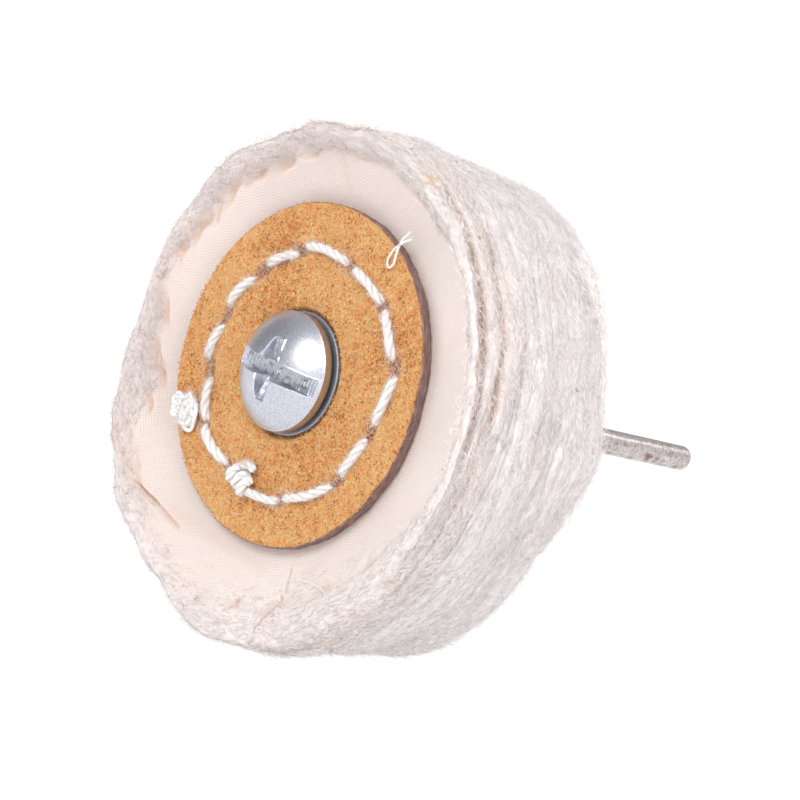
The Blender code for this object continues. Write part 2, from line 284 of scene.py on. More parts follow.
class Nodes:
    """A node tree that is built up one node at a time."""

    def __init__(self, tree):
        self.tree = tree

    def node(self, kind, **values):
        node = self.tree.nodes.new(kind)
        for key, value in values.items():
            setattr(node, key, value)
        return node

    def wire(self, source, target):
        """Links a socket, or sets a plain value."""
        if isinstance(source, bpy.types.NodeSocket):
            self.tree.links.new(source, target)
        else:
            target.default_value = source

    def math(self, operation, *values, clamp=False):
        node = self.node("ShaderNodeMath", operation=operation, use_clamp=clamp)
        for value, socket in zip(values, node.inputs):
            self.wire(value, socket)
        return node.outputs[0]

    def plus(self, a, b, clamp=False):
        return self.math("ADD", a, b, clamp=clamp)

    def times(self, a, b):
        return self.math("MULTIPLY", a, b)

    def ramp(self, value, *stops):
        """Each stop is a position and a colour, or one number for a grey."""
        node = self.node("ShaderNodeValToRGB")
        elements = node.color_ramp.elements
        while len(elements) < len(stops):
            elements.new(0.5)
        for element, (position, colour) in zip(elements, stops):
            element.position = position
            if not hasattr(colour, "__len__"):
                colour = (colour,) * 3
            element.color = (*colour, 1.0)
        self.wire(value, node.inputs["Fac"])
        return node.outputs["Color"]

    def blend(self, factor, a, b, how="MIX"):
        node = self.node("ShaderNodeMix", data_type="RGBA", blend_type=how)
        self.wire(factor, node.inputs["Factor"])
        for value, socket in ((a, node.inputs[6]), (b, node.inputs[7])):
            if not isinstance(value, bpy.types.NodeSocket):
                value = (*value, 1.0)
            self.wire(value, socket)
        return node.outputs[2]


class Finish(Nodes):
    """A Principled material. Sizes and distances are millimetres."""

    def __init__(self, name, roughness=0.9, metallic=0.0, sheen=0.0):
        self.made = bpy.data.materials.new(name)
        self.made.use_nodes = True
        super().__init__(self.made.node_tree)
        self.shader = self.tree.nodes["Principled BSDF"]
        self.give("Roughness", roughness)
        self.give("Metallic", metallic)
        self.give("Sheen Weight", sheen)
        self.coordinates = self.node("ShaderNodeTexCoord").outputs["Object"]

    def give(self, socket, value):
        """Links or sets one of the shader's own sockets."""
        self.wire(value, self.shader.inputs[socket])
        return self

    def soften(self, depth):
        """Lets light a little way into the surface, as loose cotton does."""
        self.give("Subsurface Weight", 0.7)
        self.give("Subsurface Radius", (1.0, 0.9, 0.85))
        self.give("Subsurface Scale", depth * MM)

    def attribute(self, name, output="Fac"):
        return self.node("ShaderNodeAttribute", attribute_name=name).outputs[output]

    def tinted(self, shade):
        """Base colour: the mesh's own tint, times a shade."""
        tint = self.attribute("tint", "Color")
        return self.give("Base Color", self.blend(1.0, tint, shade, "MULTIPLY"))

    def scaled(self, vector, scale, turn=(0.0, 0.0, 0.0)):
        node = self.node("ShaderNodeMapping")
        self.wire(vector, node.inputs["Vector"])
        node.inputs["Scale"].default_value = scale
        node.inputs["Rotation"].default_value = turn
        return node.outputs["Vector"]

    def noise(self, size, detail=3.0, roughness=0.55, vector=None, distortion=0.0):
        """Noise with features of that size, or of 1 in a vector's own units."""
        node = self.node("ShaderNodeTexNoise")
        node.inputs["Scale"].default_value = 1.0 / (size * MM) if vector is None else 1.0
        node.inputs["Detail"].default_value = detail
        node.inputs["Roughness"].default_value = roughness
        node.inputs["Distortion"].default_value = distortion
        self.wire(self.coordinates if vector is None else vector, node.inputs["Vector"])
        return node.outputs["Fac"]

    def strands(self, scale, roughness, distortion):
        """Noise that is drawn out along the mesh's field "strand"."""
        drawn = self.scaled(self.attribute("strand", "Vector"), scale)
        return self.noise(1.0, 6.0, roughness, drawn, distortion)

    def bump(self, height, distance, strength, below=None):
        node = self.node("ShaderNodeBump")
        node.inputs["Strength"].default_value = strength
        node.inputs["Distance"].default_value = distance * MM
        self.wire(height, node.inputs["Height"])
        if below is not None:
            self.wire(below, node.inputs["Normal"])
        return node.outputs["Normal"]


# How far light goes into the brushed rims, the front cloth and the cord
NAP_DEPTH = 1.5
CLOTH_NAP_DEPTH = 0.5
CORD_NAP_DEPTH = 0.25
# The front cloth's threads
WEAVE_PITCH = 0.25
WEAVE_TURN = math.radians(24)
# Shade of brushed cotton between its strands and on them
NAP_SHADE = ((0.32, (0.93, 0.905, 0.89)), (0.58, 1.0))
# Strokes per metre in the leather's cut edge and along the drawn rod
EDGE_LAYERS = (900.0, 9000.0, 900.0)
DRAWN_LINES = (5200.0, 260.0, 5200.0)


def woven_cotton():
    """Plain weave where the field "woven" is 1, brushed nap where it is 0."""
    finish = Finish("cotton_cloth", roughness=0.95, sheen=0.15)
    threads = (TAU / (2 * WEAVE_PITCH * MM),) * 3
    parts = finish.node("ShaderNodeSeparateXYZ")
    finish.wire(finish.scaled(finish.coordinates, threads, (0, WEAVE_TURN, 0)), parts.inputs[0])
    wobble = finish.times(finish.noise(1.1), 2.2)
    across = finish.math("SINE", finish.plus(parts.outputs["X"], wobble))
    along = finish.math("SINE", finish.plus(parts.outputs["Z"], wobble))
    slubs = finish.plus(finish.times(finish.noise(0.5), 1.5), 0.25)
    height = finish.times(finish.math("ABSOLUTE", finish.times(across, along)), slubs)
    woven = finish.attribute("woven")
    fluff = finish.strands((0.45, 2.6, 1.4), 0.65, 0.6)
    thread = finish.ramp(height, (0.0, (0.83, 0.77, 0.74)), (0.45, 1.0))
    finish.tinted(finish.blend(woven, finish.ramp(fluff, *NAP_SHADE), thread))
    fine = finish.times(finish.noise(0.12, detail=2.0), 0.4)
    relief = finish.plus(finish.times(height, 0.8), fine)
    weave_bump = finish.bump(finish.times(relief, woven), 0.05, 0.9)
    nap_share = finish.math("SUBTRACT", 1.0, woven)
    finish.soften(CLOTH_NAP_DEPTH)
    finish.give("Normal", finish.bump(finish.times(fluff, nap_share), 0.1, 0.5, weave_bump))
    return finish.made


def brushed_cotton():
    """Rim of the plies behind: brushed strands that run round the wheel."""
    finish = Finish("brushed_cotton", roughness=0.95, sheen=0.15)
    fluff = finish.strands((0.40, 3.0, 1.6), 0.66, 0.7)
    finish.tinted(finish.ramp(fluff, *NAP_SHADE))
    finish.soften(NAP_DEPTH)
    return finish.give("Normal", finish.bump(fluff, 0.12, 0.5)).made


def suede():
    """Speckled rough face; layered cut edge where the field "cut" is 1."""
    finish = Finish("suede_leather", roughness=0.95, sheen=0.25)
    grain = finish.noise(0.23, detail=5.0, roughness=0.8, distortion=1.6)
    speckle = finish.ramp(grain, (0.37, srgb(186, 72, 12)), (0.435, srgb(255, 132, 46)),
                          (0.50, srgb(255, 188, 94)), (0.575, srgb(255, 234, 166)))
    patches = finish.noise(3.0, detail=2.0)
    tone = finish.ramp(patches, (0.35, (0.96, 0.91, 0.88)), (0.65, 1.0))
    face = finish.blend(1.0, speckle, tone, "MULTIPLY")
    streak = finish.noise(1.0, vector=finish.scaled(finish.coordinates, EDGE_LAYERS))
    edge = finish.ramp(streak, (0.35, srgb(112, 74, 72)), (0.55, srgb(160, 116, 110)),
                       (0.7, srgb(205, 170, 150)))
    finish.tinted(finish.blend(finish.attribute("cut"), face, edge))
    return finish.give("Normal", finish.bump(grain, 0.3, 1.0)).made


def cotton_cord():
    finish = Finish("cotton_cord", roughness=0.9, sheen=0.2)
    streak = finish.noise(0.22, detail=5.0, roughness=0.7, distortion=1.0)
    finish.tinted(finish.ramp(streak, (0.30, (0.88, 0.84, 0.81)), (0.58, 1.0)))
    finish.soften(CORD_NAP_DEPTH)
    return finish.give("Normal", finish.bump(streak, 0.12, 0.8)).made


def zinc_plate(name, metallic, dullness):
    finish = Finish(name, metallic=metallic)
    peel = finish.noise(0.16, roughness=0.6)
    finish.tinted(finish.ramp(peel, (0.34, srgb(184, 187, 198)), (0.62, srgb(218, 220, 230))))
    cloud = finish.times(finish.noise(2.5), 0.16)
    wear = finish.times(finish.noise(0.18), 0.12)
    finish.give("Roughness", finish.plus(finish.plus(cloud, wear), dullness, clamp=True))
    return finish.give("Normal", finish.bump(peel, 0.012, 0.6)).made


def worn_steel():
    """Drawn and stained steel; where the field "rust_and_shade" is 1 it is rusty, and low on the
    rod's underside that darkening is painted shade.
    """
    finish = Finish("worn_steel", metallic=1.0)
    lines = finish.noise(1.0, 4.0, vector=finish.scaled(finish.coordinates, DRAWN_LINES))
    patches = finish.noise(1.6, detail=4.0, roughness=0.65)
    mottle = finish.plus(finish.times(lines, 0.35), finish.times(finish.noise(0.45, 4.0), 0.65))
    bare = finish.ramp(mottle, (0.36, srgb(166, 155, 154)), (0.62, srgb(222, 213, 211)))
    stain_and_shade = finish.ramp(patches, (0.62, 0.0), (0.74, 0.55))
    dulled = finish.blend(stain_and_shade, bare, srgb(128, 108, 98))
    finish.give("Base Color", finish.blend(finish.attribute("rust_and_shade"), dulled, srgb(116, 92, 80)))
    finish.give("Roughness", finish.plus(finish.times(patches, 0.3), 0.14, clamp=True))
    pits = finish.bump(finish.noise(0.25), 0.02, 0.5, finish.bump(lines, 0.01, 0.4))
    return finish.give("Normal", pits).made


def add_hairs(name, slot, colour, root, direction, length, thickness, bend, rise=None, painted_glow=0.0):
    """A piece of loose hairs on the wheel. One colour does, as each hair takes its own light."""
    finish = Finish(name, roughness=0.95, sheen=0.1).give("Base Color", (*colour, 1.0))
    if painted_glow:
        # painted light: the hairs glow a little, in place of light passing through loose white
        # cotton
        finish.give("Emission Color", (*colour, 1.0))
        finish.give("Emission Strength", painted_glow)
    shape = fibres(root, direction, length, thickness, bend, rise)
    return add_piece(name, shape, finish.made, "wheel", slot)


CLOTH = srgb(235, 223, 218)
CLOTH_FLUFF = srgb(240, 233, 232)
# Painted shade: the shaded fluff, the cloth shade and the two tans below stand for shade on the
# cloth
SHADED_FLUFF = srgb(222, 212, 210)
CLOTH_SHADE = srgb(226, 213, 208)
TAN_SHADE = srgb(218, 182, 154)
DEEP_TAN_SHADE = srgb(172, 134, 102)
CORD = srgb(253, 249, 248)

cloth_finish = woven_cotton()
brushed_finish = brushed_cotton()
suede_finish = suede()
cord_finish = cotton_cord()
zinc_finish = zinc_plate("zinc_plate", 1.0, 0.20)
dull_zinc_finish = zinc_plate("dull_zinc_plate", 0.7, 0.38)
steel_finish = worn_steel()


# Cloth plies

def dish(radius):
    """Depth pressed into the leather: steep beside the washer, then easing out."""
    steep = 1.0 - smooth(6.17, 6.55, radius)
    easing = 1.0 - smooth(6.4, DISH_RIM_RADIUS, radius)
    return DISH_DEPTH * (0.82 * steep + 0.18 * easing)


# Depth of the front ply's face under the leather
STACK_FRONT = LEATHER_THICKNESS + 0.1


def packed(radius, share):
    """Depth in the part of the stack that the leather discs hold."""
    front = STACK_FRONT + dish(radius)
    return front + (LEATHER_SPAN - 2.0 * front) * share


# Where the front ply's weave gives way to its brushed rim: degrees and radius
WEAVE_EDGE = ((0, 24.2), (12, 24.5), (22, 23.3), (34, 24.1), (43, 23.2), (52, 22.3), (78, 22.1),
              (92, 21.8), (102, 21.7), (114, 21.3), (127, 21.5), (135, 21.6), (143, 21.4),
              (150, 21.3), (158, 21.5), (168, 21.6), (177, 20.9), (188, 20.4), (193, 19.8),
              (199, 20.2), (207, 21.9), (211, 22.6), (224, 22.7), (245, 22.9), (262, 23.6),
              (279, 22.6), (295, 21.9), (310, 22.0), (325, 22.6), (346, 23.7))
# Half width of that change, as a share of the brushed band
WEAVE_FADE = ((0, 0.25), (60, 0.25), (180, 0.22), (225, 0.3), (250, 0.6), (290, 1.0), (325, 1.0),
              (345, 0.4))
# How far the front ply's brushed rim stands in front of its weave, and its thickness
ROLL_RISE = ((0, 0.10), (30, 0.12), (60, 0.45), (90, 0.7), (135, 0.8), (180, 0.9), (200, 1.1),
             (215, 1.0), (240, 0.9), (270, 0.8), (300, 0.8), (325, 0.5), (345, 0.15))
# Depth of the front ply's face at its rim
FRONT_RIM = ((0, -1.7), (45, -2.0), (90, -2.2), (135, -2.1), (180, -1.6), (205, -2.6),
             (240, -2.2), (270, -2.3), (315, -2.2))
# Outer radius of the front ply
FRONT_RADIUS = ((0, 24.7), (20, 24.6), (45, 24.7), (90, 25.1), (135, 25.1), (175, 24.8),
                (205, 25.5), (240, 25.3), (270, 25.3), (315, 25.0), (345, 24.8))
# Extra room behind the front ply, a deep groove on one side
FRONT_GROOVE = ((0, 1.3), (22, 2.1), (45, 1.5), (65, 0.5), (80, 0.0), (250, 0.0), (300, 0.0),
                (335, 0.05), (350, 0.45))
SECOND_GROOVE = ((350, 0.0), (2, 0.5), (20, 1.0), (38, 1.1), (50, 0.5), (62, 0.1), (90, 0.0),
                 (270, 0.0), (300, 0.0), (335, 0.15))
# How far the rim stands out beyond the round, most at the front ply
OUT_OF_ROUND = ((0, 0.0), (60, -0.1), (75, -0.5), (92, -1.1), (110, -1.25), (150, -1.3),
                (176, -1.8), (188, -1.9), (195, -1.6), (201, -1.1), (208, -0.7), (218, -0.3),
                (228, -0.1), (240, -0.4), (250, 0.1), (260, 0.8), (270, 1.5), (290, 1.7),
                (308, 1.3), (325, 0.5), (345, 0.1))
# The same for the rearmost ply alone
REAR_ROUND = ((0, -0.7), (15, -0.8), (30, -0.4), (60, 0.1), (180, 0.0), (270, 0.4), (285, 0.9),
              (302, 0.8), (322, -0.6), (335, -1.4), (348, -1.0))
# A clump that stands proud behind the second groove
CLUMP = ((0, 0.0), (5, 0.5), (14, 0.7), (22, 0.5), (30, 0.0), (180, 0.0))
BACK_RIM_DEPTH = 17.9
# Outer radius of the plies behind, and the radius out to which the leather holds them all
RIM_RADIUS = 25.35
HELD_RADIUS = LEATHER_RADIUS - 0.6
# Where the front ply's fluff, and then its whole cloth, are painted darker as shade on the left,
# away from the light
FLUFF_SHADE = ((0, 0.2), (60, 0.4), (100, 1.0), (200, 1.0), (235, 0.2), (330, 0.0))
SHADED_SIDE = ((150, 0.0), (200, 0.045), (250, 0.045), (290, 0.0))
# Where loose fluff hangs over the front plies' edges
EDGE_FLUFF = ((280, 0.0), (300, 0.6), (325, 1.0), (60, 1.0), (95, 0.8), (115, 0.3), (130, 0.0))


def rim_slots():
    """(low, high) depth of every ply's brushed rim at each angle."""
    weights, grooves = [], []
    for ply in range(PLIES):
        weights.append(1.0 + 0.6 * around(angles, ply + 3.0, 9.0))
        wander = around(angles, 2.0 * ply + 71.0, 11.0) + 0.6 * around(angles, ply + 140.0, 4.5)
        openness = 0.45 if ply < 6 else 0.03
        grooves.append(np.clip(np.exp(3.6 * wander - 2.6) * openness - 0.14, 0.0, 0.5))
    weights, grooves = np.array(weights), np.array(grooves)
    weights[0] = 0.7 + 1.0 * by_angle(ROLL_RISE)
    grooves[0] = 0.35 * by_angle(FRONT_GROOVE)
    grooves[2] += 0.15 * by_angle(SECOND_GROOVE)
    grooves[-1] = 0.0
    front = by_angle(FRONT_RIM)
    total = weights.sum(0) + grooves.sum(0)
    unit_depth = (BACK_RIM_DEPTH + 0.3 * around(angles, 5.0, 12.0) - front) / total
    edges = np.cumsum(np.stack([weights, grooves], axis=1).reshape(-1, COLUMNS), axis=0)
    high = front + unit_depth * edges[0::2]
    low = high - unit_depth * weights
    return low, high


rim_low, rim_high = rim_slots()


def sunk_by(ply):
    """Two plies near the front are worn away on one side and leave grooves."""
    groove = {1: FRONT_GROOVE, 3: SECOND_GROOVE}.get(ply)
    return 0.5 * by_angle(groove) if groove else np.zeros(COLUMNS)


def ply_radius(ply):
    share = (ply + 0.5) / PLIES
    crown = 0.7 * (2.0 * share - 1.0) ** 2
    wander = 0.6 * around(angles, ply * 0.12 + 9.0, 9.0)
    wander += (0.26 if ply < 5 else 0.07) * around(angles, ply + 40.0, 5.0)
    if ply == 4:
        wander += by_angle(CLUMP)
    return RIM_RADIUS - crown + wander + by_angle(OUT_OF_ROUND) * (1.0 - 0.75 * share) \
        + by_angle(REAR_ROUND) * share - sunk_by(ply)


def ply_grid(ply, outer, front_steps, back_steps, round_steps, bulge=1.0, squareness=1.0):
    """Radius and depth of one ply's closed grid, before its surface is roughened.

    Each step is a share of the way from the leather's hold (0) to the rim (1), or back to the
    bore (-1).
    """
    low, high = rim_low[ply], rim_high[ply]
    bead = (high - low) / 2.0 * bulge
    centre = (high + low) / 2.0
    packed_half = 0.36 * (LEATHER_SPAN - 2.0 * STACK_FRONT) / PLIES
    share = (ply + 0.5) / PLIES
    corner = np.minimum(bead, 1.1)
    straight = outer - corner

    def side(radius_share, sign):
        radius = np.where(radius_share < 0.0,
                          mix(PLY_BORE_RADIUS, HELD_RADIUS, 1.0 + radius_share),
                          mix(HELD_RADIUS, straight, radius_share))
        out = np.clip((radius - LEATHER_RADIUS) / (straight - LEATHER_RADIUS), 0.0, 1.0)
        middle = mix(packed(radius, share), centre, out ** 1.35)
        half = mix(packed_half, bead, smooth(0.25, 1.0, out))
        return radius, middle + sign * half

    rows = []
    for step in front_steps:
        rows.append(side(np.full(COLUMNS, step), -1.0))
    for turn in np.linspace(0.0, math.pi, round_steps + 2)[1:-1]:
        out = abs(math.sin(turn)) ** squareness
        along = math.copysign(abs(math.cos(turn)) ** squareness, math.cos(turn))
        rows.append((straight + corner * out, centre - bead * along))
    for step in reversed(back_steps):
        rows.append(side(np.full(COLUMNS, step), 1.0))
    radius, depth = zip(*rows)
    return np.array(radius), np.array(depth)


def round_field(radius, angle, depth):
    """Noise coordinates that follow the rim without a seam."""
    return np.stack([np.cos(angle) * radius, np.sin(angle) * radius, depth], axis=-1)


def roughen(grid, radius, angle, depth, amount):
    """Lumps and strands of the brushed rim, along the surface's normal."""
    normal = normals_of(grid)
    ring = round_field(np.full_like(radius, WHEEL_RADIUS), angle, depth)
    lumps = noise(ring * (0.5, 0.5, 1.0) + radius[..., None] * 0.2, 3.0)
    tufts = noise(ring * (0.6, 0.6, 1.2) + radius[..., None] * 0.3, 1.3)
    strands = noise(ring * (0.35, 0.35, 1.5) + radius[..., None] * 0.6, 0.7)
    height = 0.46 * lumps + 0.10 * tufts + 0.035 * strands
    return grid + normal * (height * amount)[..., None]


# (grid, normals, radius) of each finished ply
ply_surface = {}


def ply_bulge(ply):
    """How far a brushed rim spreads over its neighbours: little beside the sunk plies."""
    return {1: 1.0, 2: 1.3, 3: 1.7, 4: 1.4}.get(ply, 2.1)


def build_back_ply(ply):
    front = [-1.0, -0.4, 0.0, 0.2, 0.4, 0.55, 0.7, 0.82, 0.92, 1.0]
    radius, depth = ply_grid(ply, ply_radius(ply), front, front, 11,
                             bulge=ply_bulge(ply), squareness=0.35)
    angle = np.broadcast_to(angles, radius.shape)
    grid = wheel(radius, angle, depth)
    brushed = smooth(19.5, 23.0, radius)
    grid = roughen(grid, radius, angle, depth, brushed)
    # painted shade: rims sunk into the grooves between plies are tan, and deep tan further in
    sunk = ply_radius(ply) + sunk_by(ply) - radius
    groove_shade = smooth(0.05, 0.7, sunk)[..., None] * (0.9 if ply < 5 else 0.5)
    colour = mix(CLOTH_FLUFF, TAN_SHADE, groove_shade * 0.9)
    colour = mix(colour, DEEP_TAN_SHADE, smooth(2.4, 5.0, sunk)[..., None] * 0.6)
    ring = round_field(radius, angle, depth)
    # painted shadow: soft random patches of shade on the rims
    shadow_patches = smooth(0.05, 0.6, noise(ring * (0.4, 0.4, 1.0), 3.2))
    colour = mix(colour, CLOTH_SHADE, (0.55 * shadow_patches)[..., None])
    fields = {"strand": ring.reshape(-1, 3)}
    finish = brushed_finish
    if ply == PLIES - 1:
        behind = (np.arange(len(radius)) >= len(radius) - len(front))[:, None]
        bare = behind * smooth(23.6, 22.2, radius + 0.35 * around(angles, 33.0, 2.0))
        bare = bare * smooth(24.6, 23.6, radius)
        colour = mix(colour, CLOTH, bare[..., None])
        fields["woven"] = bare.ravel()
        finish = cloth_finish
    ply_surface[ply] = (grid, normals_of(grid), radius)
    return add_piece(f"brushed_ply_{ply + 1:02d}", (grid, loop_faces(*radius.shape)), finish,
                     "wheel", "cloth", f"cloth_ply_{ply + 1:02d}",
                     tint=colour.reshape(-1, 3), fields=fields)


back_plies = [build_back_ply(ply) for ply in range(1, PLIES)]


# Front ply: woven face with creases, brushed rim

# Each crease: from (x, z) to (x, z), depth and half width
CREASES = (((-21.2, -10.6), (-19.7, -12.9), 0.24, 0.24),
           ((-19.7, -12.9), (-16.7, -16.0), 0.22, 0.22),
           ((-16.6, -16.2), (-12.9, -17.7), 0.80, 0.22),
           ((-12.9, -17.7), (-9.4, -18.8), 0.45, 0.20),
           ((6.7, -17.5), (7.2, -20.1), 0.42, 0.14), ((7.2, -20.1), (7.0, -23.9), 0.55, 0.18),
           ((1.6, -23.9), (2.5, -22.1), 0.34, 0.18), ((2.3, -21.5), (3.2, -20.6), 0.20, 0.14),
           ((-3.6, -21.1), (-3.2, -20.9), 0.30, 0.12), ((-2.3, -24.1), (-1.9, -23.9), 0.45, 0.14),
           ((-0.7, 22.2), (-0.3, 17.8), 0.12, 0.55), ((-12.0, -17.4), (3.0, -19.0), 0.10, 0.8))
# Tucks where the weave meets the brushed rim: degrees, half span in degrees, depth, half width
TUCKS = ((177, 4, 0.30, 0.30), (158, 4, 0.35, 0.28), (150, 5, 0.42, 0.30), (143, 4, 0.34, 0.26),
         (135, 5, 0.34, 0.26), (124, 5, 0.36, 0.30), (114, 5, 0.36, 0.32), (102, 5, 0.18, 0.30),
         (188, 4, 0.30, 0.26), (194, 4, 0.42, 0.32), (203, 3, 0.40, 0.28), (222, 5, 0.20, 0.26),
         (84, 6, 0.12, 0.3), (60, 7, 0.18, 0.3), (321, 4, 0.28, 0.5), (306, 5, 0.22, 0.5),
         (291, 4, 0.20, 0.4))


def crease_profile(x, z, start, end, width):
    """1 along the crease's line, falling to 0 at its sides and ends."""
    start, end = np.array(start), np.array(end)
    line = end - start
    length = np.linalg.norm(line)
    wander = 0.20 * noise(plane(x, z), 2.2)
    along = ((x - start[0]) * line[0] + (z - start[1]) * line[1]) / length
    off = ((x - start[0]) * -line[1] + (z - start[1]) * line[0]) / length + wander
    ends = smooth(-0.8, 0.8, along) * smooth(length + 0.8, length - 0.8, along)
    return np.exp(-(off / width) ** 2) * ends


def creases_and_tucks(x, z, radius, angle, edge):
    """How far the weave is pressed in, and how much painted tan shade lies along its creases and
    tucks.
    """
    press = np.zeros(radius.shape)
    stain_and_shade = np.zeros(radius.shape)
    for start, end, deep, width in CREASES:
        mark = crease_profile(x, z, start, end, width)
        lips = crease_profile(x, z, start, end, width * 2.6)
        press += deep * mark - 0.25 * deep * lips
        stain_and_shade = np.maximum(stain_and_shade, mark * min(deep * 1.5, 0.8))
    ragged = 0.30 * noise(plane(x, z, 4.0), 1.3)
    for degrees, span, deep, width in TUCKS:
        away = (np.degrees(angle) - degrees + 180.0) % 360.0 - 180.0
        slope = away / span * 0.35
        mark = np.exp(-((radius - edge + 0.1 + slope + ragged) / width) ** 2 - (away / span) ** 2)
        press += deep * mark
        stain_and_shade = np.maximum(stain_and_shade, mark * deep * 1.5)
    return press, stain_and_shade


def build_front_ply():
    front = [-1.0, -0.5, -0.12] + list(np.linspace(0.0, 1.0, 62))
    back = [-1.0, -0.3, 0.0, 0.25, 0.5, 0.7, 0.85, 1.0]
    round_steps = 13
    outer = by_angle(FRONT_RADIUS) + by_angle(OUT_OF_ROUND)
    outer += 0.35 * around(angles, 77.0, 4.0) + 0.16 * around(angles, 91.0, 1.3)
    radius, depth = ply_grid(0, outer, front, back, round_steps)
    angle = np.broadcast_to(angles, radius.shape)
    grid = wheel(radius, angle, depth)
    row = np.arange(len(radius))[:, None]
    rim_top = len(front) + round_steps // 2
    facing = np.broadcast_to(smooth(rim_top, len(front) - 1, row), radius.shape)
    x, z = grid[..., 0], grid[..., 2]
    edge = by_angle(WEAVE_EDGE) + 0.35 * around(angles, 55.0, 1.8)
    rise = by_angle(ROLL_RISE)
    beyond = (radius - edge) / np.maximum(outer - edge, 0.8)
    fade = by_angle(WEAVE_FADE)
    brushed = smooth(-fade, fade * 1.2, beyond)
    swell = smooth(-0.05, 0.45, beyond) * rise * 0.5
    seam = np.exp(-((radius - edge) / 0.42) ** 2) * (0.08 + 0.12 * rise) \
        * (0.5 + 1.0 * np.clip(around(angles, 21.0, 2.4), -0.4, 1.0))
    press, stain_and_shade = creases_and_tucks(x, z, radius, angle, edge)
    flat = plane(x, z)
    sway = 0.20 * noise(flat, 7.0) + 0.07 * noise(flat, 2.6)
    outside = smooth(LEATHER_RADIUS + 0.1, LEATHER_RADIUS + 2.0, radius)
    grid[..., 1] += facing * outside * (press + seam - swell + sway)
    fluffy = np.where(row < len(front) + round_steps, brushed, smooth(20.0, 23.5, radius))
    grid = roughen(grid, radius, angle, grid[..., 1], fluffy * 0.8)
    # painted shade: tan along the creases, the tucks and the seam where the weave meets the rim
    stain_and_shade = np.clip(stain_and_shade * facing + seam * 0.7 * facing, 0.0, 1.0)
    # painted shade: the back of the front ply, facing the groove behind it, is deep tan
    back_side_shade = smooth(0.0, 4.0, row - len(front) - 9.0) * smooth(0.2, 1.6, outer - radius)
    # painted shade: the fluff is darker on the upper left, away from the light
    fluff_colour = mix(CLOTH_FLUFF, SHADED_FLUFF, by_angle(FLUFF_SHADE)[:, None])
    colour = mix(CLOTH, fluff_colour, fluffy[..., None])
    colour = mix(colour, TAN_SHADE, stain_and_shade[..., None])
    colour = mix(colour, DEEP_TAN_SHADE, back_side_shade[..., None] * 0.9)
    # painted shadow: the cloth just outside the leather disc is tinted tan
    leather_edge_shadow = smooth(18.2, 17.0, radius) * facing
    colour = mix(colour, TAN_SHADE, leather_edge_shadow[..., None] * 0.12)
    # painted shade: the cloth is darker on the lower left; the noise is random tone
    colour = colour * (1.0 - by_angle(SHADED_SIDE) + 0.03 * noise(flat, 5.0))[..., None]
    woven = (1.0 - fluffy) * (1.0 - stain_and_shade * 0.3)
    ring = round_field(radius, angle, grid[..., 1] - FACE_Y)
    ply_surface[0] = (grid, normals_of(grid), radius)
    piece = add_piece("woven_front_ply", (grid, loop_faces(*radius.shape)), cloth_finish,
                      "wheel", "cloth", "cloth_ply_01", tint=colour.reshape(-1, 3),
                      fields={"woven": woven.ravel(), "strand": ring.reshape(-1, 3)})
    return piece, fluffy


front_ply, front_fluffy = build_front_ply()


# Brushed fibres of the rim

def rim_roots(count, plies, lowest_radius):
    """Random places on the brushed surfaces, thinned out where they are hidden."""
    roots, normals = [], []
    for ply in plies:
        grid, normal, radius = ply_surface[ply]
        rows, columns = radius.shape
        exposed = smooth(lowest_radius, lowest_radius + 1.6, radius)
        if ply == 0:
            exposed = front_fluffy * smooth(17.2, 18.2, radius)
        area = np.linalg.norm(np.cross(np.roll(grid, -1, 0) - grid, np.roll(grid, -1, 1) - grid),
                              axis=-1)
        chance = (area * exposed).ravel()
        pick = rng.choice(chance.size, size=count, p=chance / chance.sum())
        row, column = np.unravel_index(pick, radius.shape)
        u, v = rng.random(count)[:, None], rng.random(count)[:, None]
        here = grid[row, column]
        down = grid[(row + 1) % rows, column] - here
        along = grid[row, (column + 1) % columns] - here
        roots.append(here + down * u + along * v)
        normals.append(normal[row, column])
    return np.concatenate(roots), np.concatenate(normals)


def brushed_directions(root, normal, spread, lift):
    """Either way round the wheel in wavy flows, each hair tilted and lifted at random."""
    outward = unit(root * (1.0, 0.0, 1.0))
    round_wheel = np.cross((0.0, 1.0, 0.0), outward)
    axis = np.broadcast_to((0.0, 1.0, 0.0), root.shape)
    flow = 0.8 * noise(root, 4.5) + 0.45 * noise(root, 1.4)
    side = np.where(rng.random(len(root)) < 0.5, 1.0, -1.0)[:, None]
    tilt = (flow + spread * rng.normal(size=len(root)))[:, None]
    direction = round_wheel + axis * tilt
    direction = direction - normal * np.sum(direction * normal, axis=-1, keepdims=True)
    return unit(unit(direction) * side + normal * (lift * rng.random(len(root)))[:, None])


def rim_fuzz(name, count, plies, colour, spread, lift, length, thickness, lowest=22.6,
             loft=0.12):
    """Hairs on each of those plies, rooted just under its surface."""
    root, normal = rim_roots(count, plies, lowest)
    direction = brushed_directions(root, normal, spread, lift)
    long = mix(*length, rng.random(len(root)) ** 1.4)
    rise = normal * (loft * rng.random((len(root), 1)))
    add_hairs(name, "cloth", colour, root - normal * 0.07, direction, long, thickness,
              rng.normal(0.0, 0.20, len(root)), rise)


def rim_envelope(depths):
    """Outer radius of the whole stack at each depth and angle, and the same evened out."""
    outer = np.zeros((depths.size, COLUMNS))
    for grid, *_ in ply_surface.values():
        radius, depth = np.hypot(grid[..., 0], grid[..., 2]), grid[..., 1] - FACE_Y
        for column in range(COLUMNS):
            near = radius[:, column] > radius[:, column].max() - 1.4
            here, out = depth[near, column], radius[near, column]
            order = np.argsort(here)
            level = np.interp(depths, here[order], out[order], left=0.0, right=0.0)
            outer[:, column] = np.maximum(outer[:, column], level)
    even = np.zeros_like(outer)
    for step in range(-5, 6):
        even += np.roll(outer, step, axis=0) / 11.0
    return outer, even


